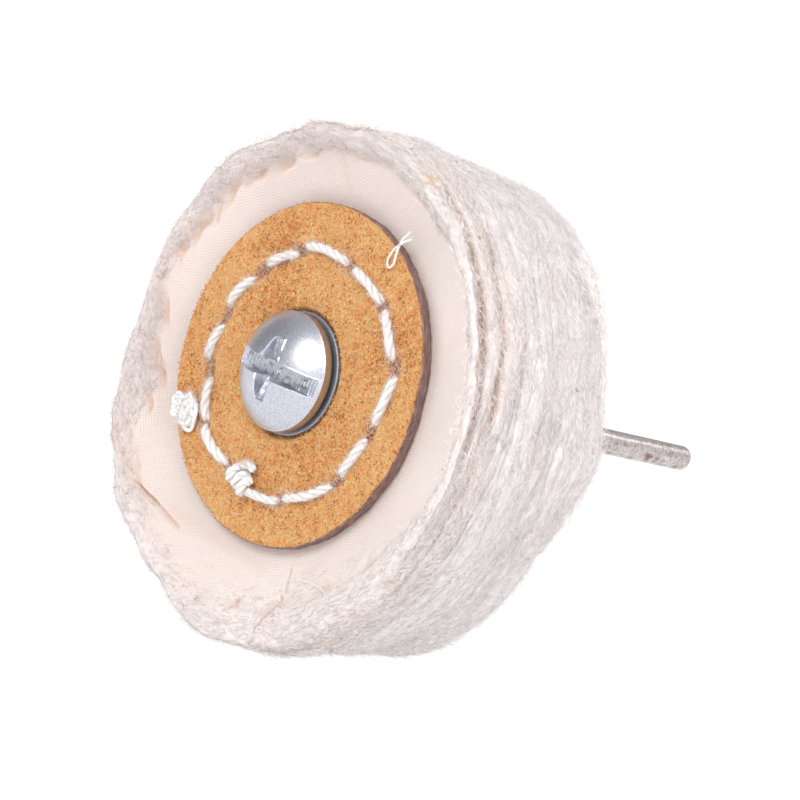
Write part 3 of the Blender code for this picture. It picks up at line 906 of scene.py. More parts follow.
# Depths over which loose hairs bridge the rims, and where those of the front end
NAP_FRONT = -2.6
NAP_BACK = 18.4
EDGE_BACK = 4.2


def combed_nap(name, count, colour, thickness, length, depths, level, chance, loft, comb, bend,
               painted_glow=0.0):
    """Hairs on the stack's envelope, placed by chance and combed as brushed_directions says."""
    chance = (chance / chance.sum()).ravel()
    row, column = np.unravel_index(rng.choice(chance.size, size=count, p=chance), level.shape)
    angle = angles[column] + rng.uniform(0.0, TAU / COLUMNS, count)
    depth = depths[row] + rng.uniform(-0.05, 0.05, count)
    root = wheel(level[row, column] + rng.uniform(*loft, count), angle, depth)
    direction = brushed_directions(root, unit(root * (1.0, 0.0, 1.0)), *comb)
    long = mix(*length, rng.random(count) ** 1.4)
    add_hairs(name, "cloth", colour, root, direction, long, thickness,
              rng.normal(0.0, bend, count), painted_glow=painted_glow)


def bridging_nap(name, count, colour, thickness, length, loft):
    """Hairs that lie over the seams between the brushed rims, and hide them."""
    depths = np.linspace(NAP_FRONT, NAP_BACK, 211)
    outer, even = rim_envelope(depths)
    chance = smooth(23.0, 23.6, outer) * smooth(0.45, 0.15, even - outer)
    combed_nap(name, count, colour, thickness, length, depths, np.maximum(outer, even), chance,
               (-0.04, loft), (0.9, 0.12), 0.16)


def front_edge_nap(name, count, colour, thickness, length):
    """Longer hairs combed over the front plies' edges, which leave parts of the grooves open."""
    depths = np.linspace(NAP_FRONT, EDGE_BACK, 69)
    outer, even = rim_envelope(depths)
    near = smooth(EDGE_BACK, 2.6, depths)[:, None] * by_angle(EDGE_FLUFF)
    bridged = smooth(-0.15, 0.15, around(angles, 61.0, 3.0))
    chance = near * smooth(22.6, 23.4, outer) * smooth(0.3 + 0.9 * bridged, 0.15, even - outer)
    # painted light: these hairs glow a little
    combed_nap(name, count, colour, thickness, length, depths, np.maximum(outer, even), chance,
               (-0.05, 0.16), (1.3, 0.10), 0.2, painted_glow=0.14)


bridging_nap("rim_nap_bridge_pale", 32000, srgb(250, 245, 245), 0.056, (0.6, 2.0), 0.12)
bridging_nap("rim_nap_bridge_warm", 30000, srgb(244, 237, 236), 0.052, (0.5, 1.8), 0.10)
front_edge_nap("front_edge_nap_pale", 6500, srgb(250, 242, 239), 0.050, (0.7, 2.2))
front_edge_nap("front_edge_nap_warm", 3000, srgb(246, 228, 216), 0.048, (0.6, 2.0))
behind, front_third, rear_third = range(1, PLIES), range(1, 7), range(14, PLIES)
for part, plies, count in (("front", front_third, 3600), ("rear", rear_third, 3000)):
    rim_fuzz(f"rim_nap_pale_{part}", count, plies, srgb(242, 235, 235), 0.6, 0.2, (0.5, 2.0),
             0.042)
rim_fuzz("rim_nap_warm", 1700, behind, srgb(234, 225, 222), 0.6, 0.24, (0.5, 1.8), 0.042)
rim_fuzz("rim_nap_shade", 800, behind, srgb(220, 208, 204), 0.6, 0.2, (0.5, 1.6), 0.036)
# painted shade: tan hairs reaching down into the front grooves
rim_fuzz("rim_nap_tan_shade", 200, front_third, srgb(214, 190, 172), 0.6, 0.2, (0.5, 1.5), 0.036, 21.0)
rim_fuzz("rim_nap_stray", 420, behind, srgb(246, 240, 239), 0.9, 1.6, (0.3, 0.9), 0.022)
rim_fuzz("front_nap_pale", 26000, [0], srgb(232, 223, 221), 0.8, 0.14, (0.3, 1.3), 0.036,
         loft=0.08)
rim_fuzz("front_nap_warm", 9000, [0], srgb(225, 214, 211), 0.8, 0.16, (0.3, 1.2), 0.034,
         loft=0.08)
rim_fuzz("front_nap_stray", 5200, [0], srgb(244, 238, 236), 1.0, 1.4, (0.3, 0.9), 0.020)


# Leather discs

# Each stitch: degrees and radius where it leaves the leather, and where it goes back in
STITCHES = ((128.7, 11.9, 108.8, 11.75), (103.9, 12.5, 73.1, 12.2), (69.2, 12.2, 44.5, 13.0),
            (40.9, 13.1, 19.2, 13.4), (12.9, 14.0, -8.1, 12.9), (-15.3, 12.8, -35.3, 12.75),
            (-41.1, 13.0, -72.0, 12.2), (-73.5, 12.6, -114.0, 12.1), (-115.5, 11.9, -140.8, 12.9),
            (-142.5, 12.5, -162.6, 11.5), (-172.4, 12.4, 169.9, 11.6), (160.0, 12.2, 139.7, 11.7))


def hole_places():
    places = []
    for k, (_, _, end, end_radius) in enumerate(STITCHES):
        start, start_radius = STITCHES[(k + 1) % len(STITCHES)][:2]
        gap = (end - start + 180.0) % 360.0 - 180.0
        places.append((end - gap / 2.0, (end_radius + start_radius) / 2.0, abs(gap)))
    return places


HOLES = hole_places()
LEATHER_COLUMNS = 720


def needle_holes(x, z, flat):
    """How far the leather is pressed in round its needle holes, and how dark it is."""
    press = np.zeros_like(x)
    dark = np.zeros_like(x)
    for degrees, hole_radius, gap in HOLES:
        spot = hole_radius * np.array([math.cos(math.radians(degrees)),
                                       math.sin(math.radians(degrees))])
        outward = ((x - spot[0]) * spot[0] + (z - spot[1]) * spot[1]) / hole_radius
        sideways = ((x - spot[0]) * -spot[1] + (z - spot[1]) * spot[0]) / hole_radius
        half = 0.40 + math.radians(gap) * hole_radius / 2.6
        distance = np.sqrt((outward / 0.6) ** 2 + (sideways / half) ** 2)
        press += 0.5 * np.exp(-(distance / 0.7) ** 2)
        press -= 0.10 * np.exp(-((distance - 1.7) / 0.6) ** 2)
        torn = distance + 0.5 * noise(flat, 0.5)
        dark = np.maximum(dark, np.exp(-(torn / 0.75) ** 2))
    return press, dark


def leather_disc(name, node, bore, face, inward, seed):
    """face is the outer face's depth; inward is +1 where the wheel lies behind it."""
    angle = np.linspace(0.0, TAU, LEATHER_COLUMNS, endpoint=False)
    rim = LEATHER_RADIUS + 0.10 * around(angle, seed, 3.0) + 0.12 * around(angle, seed + 3, 14.0)
    bevel = 0.18
    # each row: radius, depth, share of cut edge, share of rough face
    rows = []
    for step in np.linspace(0.0, 1.0, 104):
        radius = mix(bore, rim - bevel, step)
        rows.append((radius, dish(radius), 0.0, 1.0))
    for turn in np.linspace(0.0, math.pi / 2, 5)[1:]:
        rows.append((rim - bevel * (1.0 - math.sin(turn)), bevel * (1.0 - math.cos(turn)),
                     smooth(0.1, 0.9, turn), 0.5))
    for share in np.linspace(0.0, 1.0, 8)[1:]:
        rows.append((rim - 0.05 * share, mix(bevel, LEATHER_THICKNESS - 0.05, share), 1.0, 0.0))
    for step in (0.93, 0.6, 0.3, 0.0):
        radius = mix(bore, rim - bevel, step)
        rows.append((radius, dish(radius) + LEATHER_THICKNESS, 0.3, 0.0))
    radius, depth, cut, top = (np.array([np.broadcast_to(value, rim.shape) for value in values])
                               for values in zip(*rows))
    angle = np.broadcast_to(angle, radius.shape)
    x, z = radius * np.cos(angle), radius * np.sin(angle)
    flat = plane(x, z, seed * 9.0)
    press, dark = needle_holes(x, z, flat)
    grain = 0.055 * noise(flat, 0.34) + 0.05 * noise(flat + 9.0, 0.75) + 0.10 * noise(flat, 6.0)
    depth = depth + top * (press + grain) - np.where(top > 0.9, 0.06, 0.0)
    nibble = noise(np.stack([x, z, depth * 3.0], axis=-1), 0.5)
    radius = radius + (1.0 - top) * smooth(0.0, 0.3, cut) * 0.07 * nibble
    grid = wheel(radius, angle, face + inward * depth)
    if inward < 0:
        grid = grid[::-1]
        cut, dark = cut[::-1], dark[::-1]
    brown = mix(np.ones(3), srgb(214, 186, 180), dark[..., None] * 0.55)
    add_piece(name, (grid, loop_faces(*radius.shape)), suede_finish, "wheel", "suede", node,
              tint=brown.reshape(-1, 3), fields={"cut": cut.ravel()})


leather_disc("suede_front_disc", "front_leather_disc", 3.3, 0.0, 1.0, 1.0)
leather_disc("suede_rear_disc", "rear_leather_disc", PLY_BORE_RADIUS, LEATHER_SPAN, -1.0, 4.0)


def suede_nap(name, count, colour, face, inward, low, length, thickness):
    """Short hairs spread evenly over a leather disc's face."""
    radius = np.sqrt(rng.uniform(low ** 2, (LEATHER_RADIUS - 0.1) ** 2, count))
    angle = rng.uniform(0.0, TAU, count)
    root = wheel(radius, angle, face + inward * dish(radius))
    normal = np.broadcast_to((0.0, -inward, 0.0), root.shape)
    lean = rng.normal(size=root.shape) * (1.0, 0.0, 1.0)
    direction = unit(lean) + normal * rng.uniform(0.15, 0.7, count)[:, None]
    add_hairs(name, "suede", colour, root, direction, rng.uniform(*length, count), thickness,
              rng.normal(0.0, 0.2, count))


suede_nap("suede_nap_light", 7500, srgb(255, 204, 122), 0.0, 1.0, 6.4, (0.2, 0.5), 0.085)
suede_nap("suede_nap_mid", 7500, srgb(255, 154, 64), 0.0, 1.0, 6.4, (0.2, 0.5), 0.08)
suede_nap("suede_nap_dark", 6500, srgb(150, 74, 22), 0.0, 1.0, 6.4, (0.15, 0.45), 0.075)
suede_nap("rear_suede_nap_light", 3500, srgb(252, 206, 146), LEATHER_SPAN, -1.0, 6.8,
          (0.2, 0.5), 0.07)
suede_nap("rear_suede_nap_dark", 3000, srgb(160, 100, 52), LEATHER_SPAN, -1.0, 6.8,
          (0.15, 0.4), 0.06)


def hole_fray(name, face, inward, colour, share):
    """Leather fibres torn up round each needle hole."""
    roots, directions = [], []
    for degrees, radius, gap in HOLES:
        count = int((150 + 22 * gap) * share)
        half = math.degrees(0.5 / radius) + gap / 2.0
        angle = np.radians(degrees + rng.normal(0.0, half * 0.65, count))
        place_radius = radius + rng.normal(0.0, 0.58, count)
        roots.append(wheel(place_radius, angle, np.full(count, face + inward * 0.10)))
        lean = rng.normal(size=(count, 3)) * (1.0, 0.3, 1.0)
        lean[:, 1] = -inward * (0.2 + 0.5 * np.abs(lean[:, 1]))
        directions.append(lean)
    root, direction = np.concatenate(roots), np.concatenate(directions)
    add_hairs(name, "suede", colour, root, direction, rng.uniform(0.3, 1.3, len(root)), 0.045,
              rng.normal(0.0, 0.25, len(root)))


for side, face, inward in (("front", 0.0, 1.0), ("rear", LEATHER_SPAN, -1.0)):
    hole_fray(f"hole_fray_mauve_{side}", face, inward, srgb(176, 122, 104), 0.34)
    hole_fray(f"hole_fray_pink_{side}", face, inward, srgb(252, 228, 218), 0.60)


# Stitching

CORD_RADIUS = 0.50
STRAND_RADIUS = 0.29
STRAND_OFFSET = 0.18
TWIST_PITCH = 3.8
CORD_STRANDS = 3


def twisted(path, scale, phase=0.0, taper=0.0):
    """Strands laid round each other along a path, as (points, faces)."""
    path = np.asarray(path, float)
    run = np.concatenate([[0.0], np.cumsum(np.linalg.norm(np.diff(path, axis=0), axis=1))])
    tangent = unit(np.gradient(path, axis=0))
    side = unit(np.cross(tangent, (0.0, 1.0, 0.0)) + 1e-6)
    other = np.cross(tangent, side)
    parts = []
    for strand in range(CORD_STRANDS):
        turn = (run / TWIST_PITCH / scale + strand / CORD_STRANDS) * TAU + phase
        full = np.abs(np.linspace(-1.0, 1.0, len(path))) ** 3
        size = scale * (1.0 - taper * full)
        spread = STRAND_OFFSET * size[:, None]
        centre = path + spread * (np.cos(turn)[:, None] * side + np.sin(turn)[:, None] * other)
        width = STRAND_RADIUS * size * (1.0 + 0.14 * noise(centre, 0.8))
        parts.append(tube(centre, width, sides=12))
    return merge(parts)


# A stitch's height over the leather at shares of its way from hole to hole
STITCH_SHARES = np.array([0.02, 0.03, 0.07, 0.22, 0.5, 0.78, 0.93, 0.97, 0.98])
STITCH_HEIGHTS = np.array([-0.9, -0.40, 0.05, 0.40, 0.47, 0.40, 0.05, -0.40, -0.9])


def stitch_path(start, start_radius, end, end_radius, face, inward):
    """Up out of one needle hole, over the leather and down into the next."""
    a = wheel(start_radius, math.radians(start), 0.0)
    b = wheel(end_radius, math.radians(end), 0.0)
    straight = a + (b - a) * STITCH_SHARES[:, None]
    out = unit((a + b) / 2.0 - (0.0, FACE_Y, 0.0))
    bulge = (np.linalg.norm(b - a) ** 2 / 90.0) * np.sin(math.pi * STITCH_SHARES)[:, None]
    knots = straight + out * bulge
    knots[:, 1] = FACE_Y + face - inward * STITCH_HEIGHTS
    return curve_through(knots, 64)


def stitches(name, node, face, inward):
    """One side's ring of stitches; the stitch below the knot is a little thicker."""
    parts, paths = [], []
    for k, stitch in enumerate(STITCHES):
        path = stitch_path(*stitch, face, inward)
        paths.append(path)
        scale = 1.12 if k == 8 else 0.97
        parts.append(twisted(path, phase=k * 1.3, scale=scale, taper=0.42))
    points, faces = merge(parts)
    tint = CORD * (1.0 + 0.06 * noise(points, 1.5))[:, None]
    # darker and browner where the cord dips below the leather: painted shade in the needle holes,
    # and dirt from the leather
    hole_shade_and_dirt = smooth(0.25, -0.35, -inward * (points[:, 1] - FACE_Y - face))
    tint = mix(tint, srgb(190, 160, 146), hole_shade_and_dirt[:, None])
    add_piece(name, (points, faces), cord_finish, "wheel", "stitch_cord", node, tint=tint)
    return paths


front_paths = stitches("twisted_front_stitches", "front_stitch_cord", 0.0, 1.0)
rear_paths = stitches("twisted_rear_stitches", "rear_stitch_cord", LEATHER_SPAN, -1.0)


def cord_fuzz(name, paths, per_path, reach=CORD_RADIUS):
    roots, directions = [], []
    for path in paths:
        tangent = unit(np.gradient(path, axis=0))
        pick = rng.integers(12, len(path) - 12, per_path)
        off = unit(np.cross(tangent[pick], rng.normal(size=(per_path, 3))))
        roots.append(path[pick] + off * reach * 0.85)
        slope = rng.normal(0.0, 1.6, per_path)[:, None]
        directions.append(off * 0.35 + tangent[pick] * slope)
    root, direction = np.concatenate(roots), np.concatenate(directions)
    add_hairs(name, "stitch_cord", srgb(252, 245, 241), root, direction,
              rng.uniform(0.2, 0.7, len(root)), 0.035, rng.normal(0.0, 0.25, len(root)))


cord_fuzz("front_stitch_fuzz", front_paths, 650)
cord_fuzz("rear_stitch_fuzz", rear_paths, 350)


def closing_knot():
    """Turns of a thinner strand drawn tight round the long stitch, with a short stub."""
    path = front_paths[7]
    tangent = unit(np.gradient(path, axis=0))
    middle = int(len(path) * 0.57)
    centre = path[middle] + (0.0, -0.15, 0.0) + np.array((0.2, 0.0, 0.5))
    along = tangent[middle]
    front = np.array((0.0, -1.0, 0.0))
    across = np.cross(along, front)
    parts = []
    turn = np.linspace(0.0, 2.5 * TAU, 160)
    sweep = np.linspace(-1.35, 1.35, 160)
    radius = 0.78 + 0.16 * np.sin(turn * 0.6) - 0.22 * np.abs(sweep / 1.35) ** 3
    coil = (centre + along * sweep[:, None] + across * (np.cos(turn) * radius * 1.05)[:, None]
            + front * (np.sin(turn) * radius * 0.74 + 0.1)[:, None])
    parts.append(twisted(coil, scale=0.98))
    stub = curve_through([centre + along * 0.9 + across * 0.6,
                          centre + along * 0.5 + across * 1.3 + front * 0.15,
                          centre - along * 0.2 + across * 1.75 + front * 0.05,
                          centre - along * 0.9 + across * 1.6 - front * 0.1], 40)
    parts.append(twisted(stub, scale=0.9))
    points, faces = merge(parts)
    tint = CORD * (0.99 + 0.06 * noise(points, 0.9))[:, None]
    add_piece("closing_knot_turns", (points, faces), cord_finish, "wheel", "stitch_cord",
              "closing_knot", tint=tint)
    cord_fuzz("closing_knot_fuzz", [coil, stub], 900, reach=0.34)


closing_knot()


def frayed_end():
    """The cord's other end, unlaid into a soft ring of loose cotton with a tail."""
    centre = wheel(14.5, math.radians(210.0), -0.55)
    long_axis = unit(np.array((0.20, 0.0, -1.0)))
    short_axis = np.cross(long_axis, (0.0, 1.0, 0.0))
    front = np.array((0.0, -1.0, 0.0))
    parts = []
    for strand in range(20):
        turn = np.linspace(0.0, TAU * rng.uniform(0.5, 0.9), 44) + rng.uniform(0.0, TAU)
        lobe = strand % 4 == 3
        reach = rng.uniform(0.35, 0.65) if lobe else rng.uniform(0.35, 1.05)
        lean = rng.normal(0.0, 0.2, 2) + ((-0.5, -1.25) if lobe else (0.0, 0.0))
        wobble = 0.16 * np.sin(turn * 3.0 + strand)
        loop = (centre + long_axis * ((1.50 * reach + wobble) * np.cos(turn) + lean[0])[:, None]
                + short_axis * ((1.10 * reach + wobble) * np.sin(turn) + lean[1])[:, None]
                + front * (0.24 * np.sin(turn * 2.0 + strand * 2.1) + 0.30 - 0.2 * reach)[:, None])
        parts.append(tube(loop, 0.21 + 0.05 * noise(loop, 0.6), sides=8))
    for strand in range(4):
        sway = rng.normal(0.0, 0.12, 3)
        tail = curve_through([centre + long_axis * (-0.3 + sway[0]) + short_axis * -0.7,
                              centre + long_axis * (-0.5 + sway[1]) + short_axis * -1.5,
                              centre + long_axis * (-0.6 + sway[2]) + short_axis * -2.2
                              - front * 0.45], 24)
        parts.append(tube(tail, 0.18, sides=8))
    points, faces = merge(parts)
    tint = np.clip(CORD * (1.04 + 0.04 * noise(points, 0.9))[:, None], 0.0, 1.0)
    add_piece("frayed_end_strands", (points, faces), cord_finish, "wheel", "stitch_cord",
              "frayed_cord_end", tint=tint)
    count = 1500
    turn = rng.uniform(0.0, TAU, count)
    reach = rng.uniform(0.1, 1.2, count)
    root = (centre + long_axis * (1.60 * reach * np.cos(turn))[:, None]
            + short_axis * (1.15 * reach * np.sin(turn))[:, None]
            + front * rng.uniform(0.0, 0.5, count)[:, None])
    flow = long_axis * (-np.sin(turn))[:, None] + short_axis * np.cos(turn)[:, None]
    direction = flow + 0.6 * rng.normal(size=(count, 3))
    tail = rng.random(count) < 0.2
    root[tail] = (centre + long_axis * rng.normal(-0.5, 0.22, (tail.sum(), 1))
                  - short_axis * rng.uniform(0.6, 2.2, (tail.sum(), 1)))
    direction[tail] = short_axis + 0.7 * rng.normal(size=(tail.sum(), 3))
    # painted light: this fuzz glows a little
    add_hairs("frayed_end_fuzz", "stitch_cord", srgb(255, 250, 250), root, direction,
              rng.uniform(0.4, 1.2, count), 0.026, rng.normal(0.0, 0.3, count), painted_glow=0.12)


frayed_end()


def loose_threads():
    """A thread loop that sticks out over the leather's edge, and single threads on the cloth."""
    parts = []
    loop = [(11.4, 15.6, -0.9), (10.6, 15.1, -1.0), (9.4, 14.3, -0.7), (8.6, 13.2, -0.35),
            (8.9, 12.5, -0.3), (9.6, 12.9, -0.5), (9.9, 14.0, -0.8), (10.2, 15.2, -0.9),
            (10.9, 16.2, -0.8)]
    knots = [(x, FACE_Y + d, z) for x, z, d in loop]
    parts.append(tube(curve_through(knots, 80), 0.11, sides=8))
    curl = [(7.5, -18.6, 0.38), (8.6, -18.2, 0.18), (9.8, -18.0, 0.02), (11.4, -17.8, -0.28),
            (12.8, -17.8, -0.62), (14.8, -18.1, -1.45)]
    knots = [(x, FACE_Y + d, z) for x, z, d in curl]
    parts.append(tube(curve_through(knots, 60), 0.05, sides=6))
    add_piece("loose_threads", merge(parts), cord_finish, "wheel", "cloth", tint=CORD)


loose_threads()


def coloured_specks():
    """A few stray dyed fibres caught in the nap."""
    for name, colour, degrees, radius, depth, count in (
            ("speck_yellow", srgb(252, 222, 120), 59.0, 24.6, -2.1, 260),
            ("speck_rust", srgb(190, 110, 70), 265.7, 24.0, -2.2, 26),
            ("speck_orange", srgb(220, 150, 100), 342.8, 25.4, 14.0, 22),
            ("speck_dark_upper", srgb(80, 78, 76), 70.5, 25.2, -1.2, 26),
            ("speck_dark_side", srgb(110, 104, 100), 15.1, 25.5, 12.1, 20),
            ("speck_dark_front", srgb(120, 108, 100), 43.6, 25.2, 0.4, 16)):
        centre = wheel(radius, math.radians(degrees), depth)
        root = centre + rng.normal(0.0, 0.10 + count / 1200.0, (count, 3))
        add_hairs(name, "cloth", colour, root, rng.normal(size=(count, 3)),
                  rng.uniform(0.10, 0.22, count), 0.05, 0.2)


coloured_specks()


# Clamp screw

SLOT_WIDTH = 1.66
SLOT_HALF_LENGTH = 5.1
WING_REACH = 3.2
RECESS_SHIFT = 0.5
RIM_DEPTH = HEAD_SEAT - HEAD_RIM


def dome_height(radius):
    ball = (HEAD_RADIUS ** 2 + HEAD_DOME ** 2) / (2.0 * HEAD_DOME)
    return np.sqrt(np.maximum(ball ** 2 - radius ** 2, 0.0)) - (ball - HEAD_DOME)


def recess(along, across):
    """How deep the crossed recess is below the dome, and how close its rim is."""
    dome = dome_height(np.hypot(along, across))
    along = along - RECESS_SHIFT
    rough = noise(plane(along, across), 0.5)
    way, off = np.abs(along), np.abs(across)
    wall = 0.12
    # straight slot, with file marks across its ends
    width = SLOT_WIDTH / 2 + 0.05 * rough
    in_width = smooth(width + wall / 2, width - wall / 2, off)
    in_length = smooth(SLOT_HALF_LENGTH + 0.1, SLOT_HALF_LENGTH - 0.15, way)
    ladder = 0.07 * np.sin(along * TAU / 0.42) * smooth(2.4, 3.0, way) * (rough + 0.6)
    floor = 0.66 - 0.30 * along / SLOT_HALF_LENGTH + 0.012 * rough + ladder
    slot = np.maximum(dome - floor, 0.0) * in_width * in_length
    # wings of the shorter cross slot, which slope up to their ends
    slope = np.clip((WING_REACH + 0.10 * rough - off) / 2.3, 0.0, 1.0)
    half = 0.58 + 0.62 * slope
    inside = smooth(half + wall / 2, half - wall / 2 - 0.35 * slope, way)
    wings = (0.25 * smooth(0.0, 0.06, slope) + 1.55 * slope) * inside
    pit = 2.35 * smooth(1.0, 0.2, np.hypot(along, across))
    corners = 0.45 * np.exp(-((way - 0.95) ** 2 + (off - 0.95) ** 2) / 0.05)
    rim = np.minimum(np.maximum(off - width, way - SLOT_HALF_LENGTH),
                     np.maximum(way - half, off - WING_REACH))
    return np.maximum.reduce([slot, wings, pit, corners]), rim


def screw_head():
    """The head as one closed mesh: a fine field of heights inside, rings outside."""
    fine = 0.055
    line = np.arange(-5.6, 5.6, fine)
    along, across = np.meshgrid(line, line)
    keep = np.hypot(along, across) < 5.55
    along, across = along[keep], across[keep]
    ring_radii = (5.62, 5.72, 5.82, 5.90)
    ring_count = 240
    turns = np.linspace(0.0, TAU, ring_count, endpoint=False)
    flat = [np.stack([along, across], axis=-1)]
    for ring in ring_radii:
        flat.append(np.stack([ring * np.cos(turns), ring * np.sin(turns)], axis=-1))
    flat = np.concatenate(flat)
    result = delaunay_2d_cdt([Vector(p) for p in flat], [], [], 0, 1e-6)
    flat = np.array([tuple(v) for v in result[0]])
    triangles = np.array(result[2])
    radius = np.hypot(flat[:, 0], flat[:, 1])
    depth, edge = recess(flat[:, 0], flat[:, 1])
    height = dome_height(radius) - depth
    outside = np.clip(edge, 0.0, None)
    burr = 0.12 * np.exp(-(outside / 0.12) ** 2) * (edge > -0.02)
    burr *= 0.6 + 0.8 * noise(plane(*flat.T), 0.6)
    height = height + burr
    angle = np.arctan2(flat[:, 1], flat[:, 0]) + SLOT_ANGLE
    top = wheel(radius, angle, RIM_DEPTH - height)
    # painted shade: the head is darker deeper in its recess; the patchy grime is dirt, gated and
    # strengthened by depth as painted shade
    shade = 1.0 - 0.10 * smooth(0.2, 1.2, depth)
    grime_and_shade = smooth(0.45, 0.9, noise(top, 0.35) + smooth(0.1, 1.4, depth) * 0.30)
    tint = mix(np.ones(3), srgb(206, 203, 194), (grime_and_shade * smooth(0.05, 0.3, depth))[:, None])
    tint = tint * shade[:, None]
    outer = np.flatnonzero(np.abs(radius - ring_radii[-1]) < 1e-4)
    outer = outer[np.argsort(np.arctan2(flat[outer, 1], flat[outer, 0]) % TAU)]
    outer_angle = (np.arctan2(flat[outer, 1], flat[outer, 0]) % TAU) + SLOT_ANGLE
    skirt = [(5.935, RIM_DEPTH - dome_height(5.90) + 0.02), (HEAD_RADIUS, RIM_DEPTH + 0.03),
             (HEAD_RADIUS, RIM_DEPTH + 0.30), (HEAD_RADIUS, HEAD_SEAT - 0.30),
             (HEAD_RADIUS, HEAD_SEAT - 0.10), (HEAD_RADIUS - 0.03, HEAD_SEAT - 0.03),
             (HEAD_RADIUS - 0.12, HEAD_SEAT), (4.0, HEAD_SEAT), (2.4, HEAD_SEAT),
             (2.38, HEAD_SEAT + SCREW_NECK + 0.3), (0.0, HEAD_SEAT + SCREW_NECK + 0.3)]
    rings = [wheel(r, outer_angle, d) for r, d in skirt]
    points = np.concatenate([top] + rings)
    start = len(top)
    rows = [outer] + [start + k * len(outer) + np.arange(len(outer)) for k in range(len(rings))]
    faces = [triangles]
    for upper, lower in zip(rows, rows[1:]):
        faces.append(np.stack([upper, lower, np.roll(lower, -1)], axis=-1))
        faces.append(np.stack([upper, np.roll(lower, -1), np.roll(upper, -1)], axis=-1))
    tint = np.concatenate([tint, np.full((len(points) - len(top), 3), 0.96)])
    return points, np.concatenate(faces), tint


def screw_thread():
    """Helical thread as a closed surface, from the neck to the screw's blunt end."""
    start = HEAD_SEAT + SCREW_NECK
    end = HEAD_SEAT + SCREW_LENGTH
    sides = 64
    turns = (end - start) / THREAD_PITCH
    rows = int(turns * 16)
    along = np.linspace(start, end, rows)[:, None]
    angle = np.linspace(0.0, TAU, sides, endpoint=False)[None, :]
    phase = (along / THREAD_PITCH - angle / TAU) % 1.0
    crest = np.clip(np.abs(phase - 0.5) * 2.6 - 0.3, 0.0, 1.0)
    fade = smooth(0.0, 0.6, along - start) * smooth(0.0, 0.5, end - along)
    radius = SCREW_RADIUS - THREAD_HEIGHT * (1.0 - crest * fade)
    grid = wheel(radius, angle, along)
    caps = [wheel(np.zeros((1, sides)), angle, np.full((1, sides), start)),
            wheel(np.zeros((1, sides)), angle, np.full((1, sides), end))]
    grid = np.concatenate([caps[0], grid, caps[1]])
    quads = loop_faces(len(grid), sides, close_rows=False)
    triangles = np.concatenate([quads[:, [0, 1, 2]], quads[:, [0, 2, 3]]])
    return grid.reshape(-1, 3), triangles


head_points, head_faces, head_tint = screw_head()
thread_points, thread_faces = screw_thread()
add_piece("slotted_screw", merge([(head_points, head_faces), (thread_points, thread_faces)]),
          zinc_finish, "screw", "zinc_plate", "clamp_screw",
          tint=np.concatenate([head_tint, np.full((len(thread_points), 3), 0.9)]))


# Washers, hub and shank

def rounded_ring(inner, outer, front, back, edge):
    """Closed (radius, depth) loop of a flat ring with rounded outer corners."""
    loop = [(inner, front), ((inner + outer) / 2, front)]
    turns = np.linspace(0.0, math.pi / 2, 5)
    for turn in turns:
        loop.append((outer - edge + edge * math.sin(turn), front + edge - edge * math.cos(turn)))
    for turn in turns:
        loop.append((outer - edge + edge * math.cos(turn), back - edge + edge * math.sin(turn)))
    loop += [((inner + outer) / 2, back), (inner, back)]
    return loop


def flat_washer():
    """Its face is painted dark as shade in the gap under the head, and lighter beyond the head's
    rim.
    """
    grid = spun(rounded_ring(WASHER_BORE, WASHER_RADIUS, 0.10, 0.85, 0.17), 192)
    grid[..., 1] += 0.012 * noise(grid, 1.4)
    radius = np.hypot(grid[..., 0], grid[..., 2])
    # painted shade: near black under the head's rim
    tint = np.repeat(mix(0.10, 0.60, smooth(5.85, 6.08, radius))[..., None], 3, axis=-1)
    add_piece("dull_flat_washer", (grid, loop_faces(*grid.shape[:2])), dull_zinc_finish,
              "washers", "zinc_plate", "flat_washer", tint=tint.reshape(-1, 3))


flat_washer()


def lock_washer():
    """Split ring, pressed flat, with its two cut ends a little apart."""
    loop = rounded_ring(WASHER_BORE, 5.2, -0.36, 0.06, 0.06)
    slit = 0.8 / 5.2
    angle = np.linspace(slit / 2, TAU - slit / 2, 150)
    profile = np.array(loop)
    rings = wheel(profile[None, :, 0], angle[:, None], profile[None, :, 1])
    centre = rings.mean(axis=1, keepdims=True)
    rings = np.concatenate([np.repeat(centre[:1], len(loop), 1), rings,
                            np.repeat(centre[-1:], len(loop), 1)])
    faces = loop_faces(len(rings), len(loop), close_rows=False)[:, ::-1]
    # painted shade: the split washer is near black, as it lies in the head's shadow
    add_piece("split_spring_washer", (rings, faces), dull_zinc_finish, "washers", "zinc_plate",
              "split_lock_washer", tint=(0.06, 0.06, 0.06))


lock_washer()


# Rust spots, and three wide spots low on the rod's underside that are painted shade: x, depth, z,
# size, strength
SHANK_RUST_AND_SHADE = ((1.35, 58.9, -0.65, 0.95, 0.85), (1.2, 60.6, -0.9, 0.6, 0.7),
              (1.46, 53.5, 0.3, 0.42, 0.5), (1.4, 63.3, 0.5, 0.34, 0.4),
              (1.0, 51.6, -1.1, 0.7, 0.6), (0.7, 65.6, -1.33, 1.1, 0.7),
              (0.6, 62.4, -1.37, 1.1, 0.5), (0.7, 56.0, -1.33, 0.9, 0.5),
              (1.3, 49.5, -0.7, 0.6, 0.4), (-0.6, 40.0, 1.4, 0.4, 0.4))
HUB_RUST = ((3.2, 18.0, 1.4, 0.8, 0.5), (-2.0, 19.5, 2.9, 0.6, 0.4))


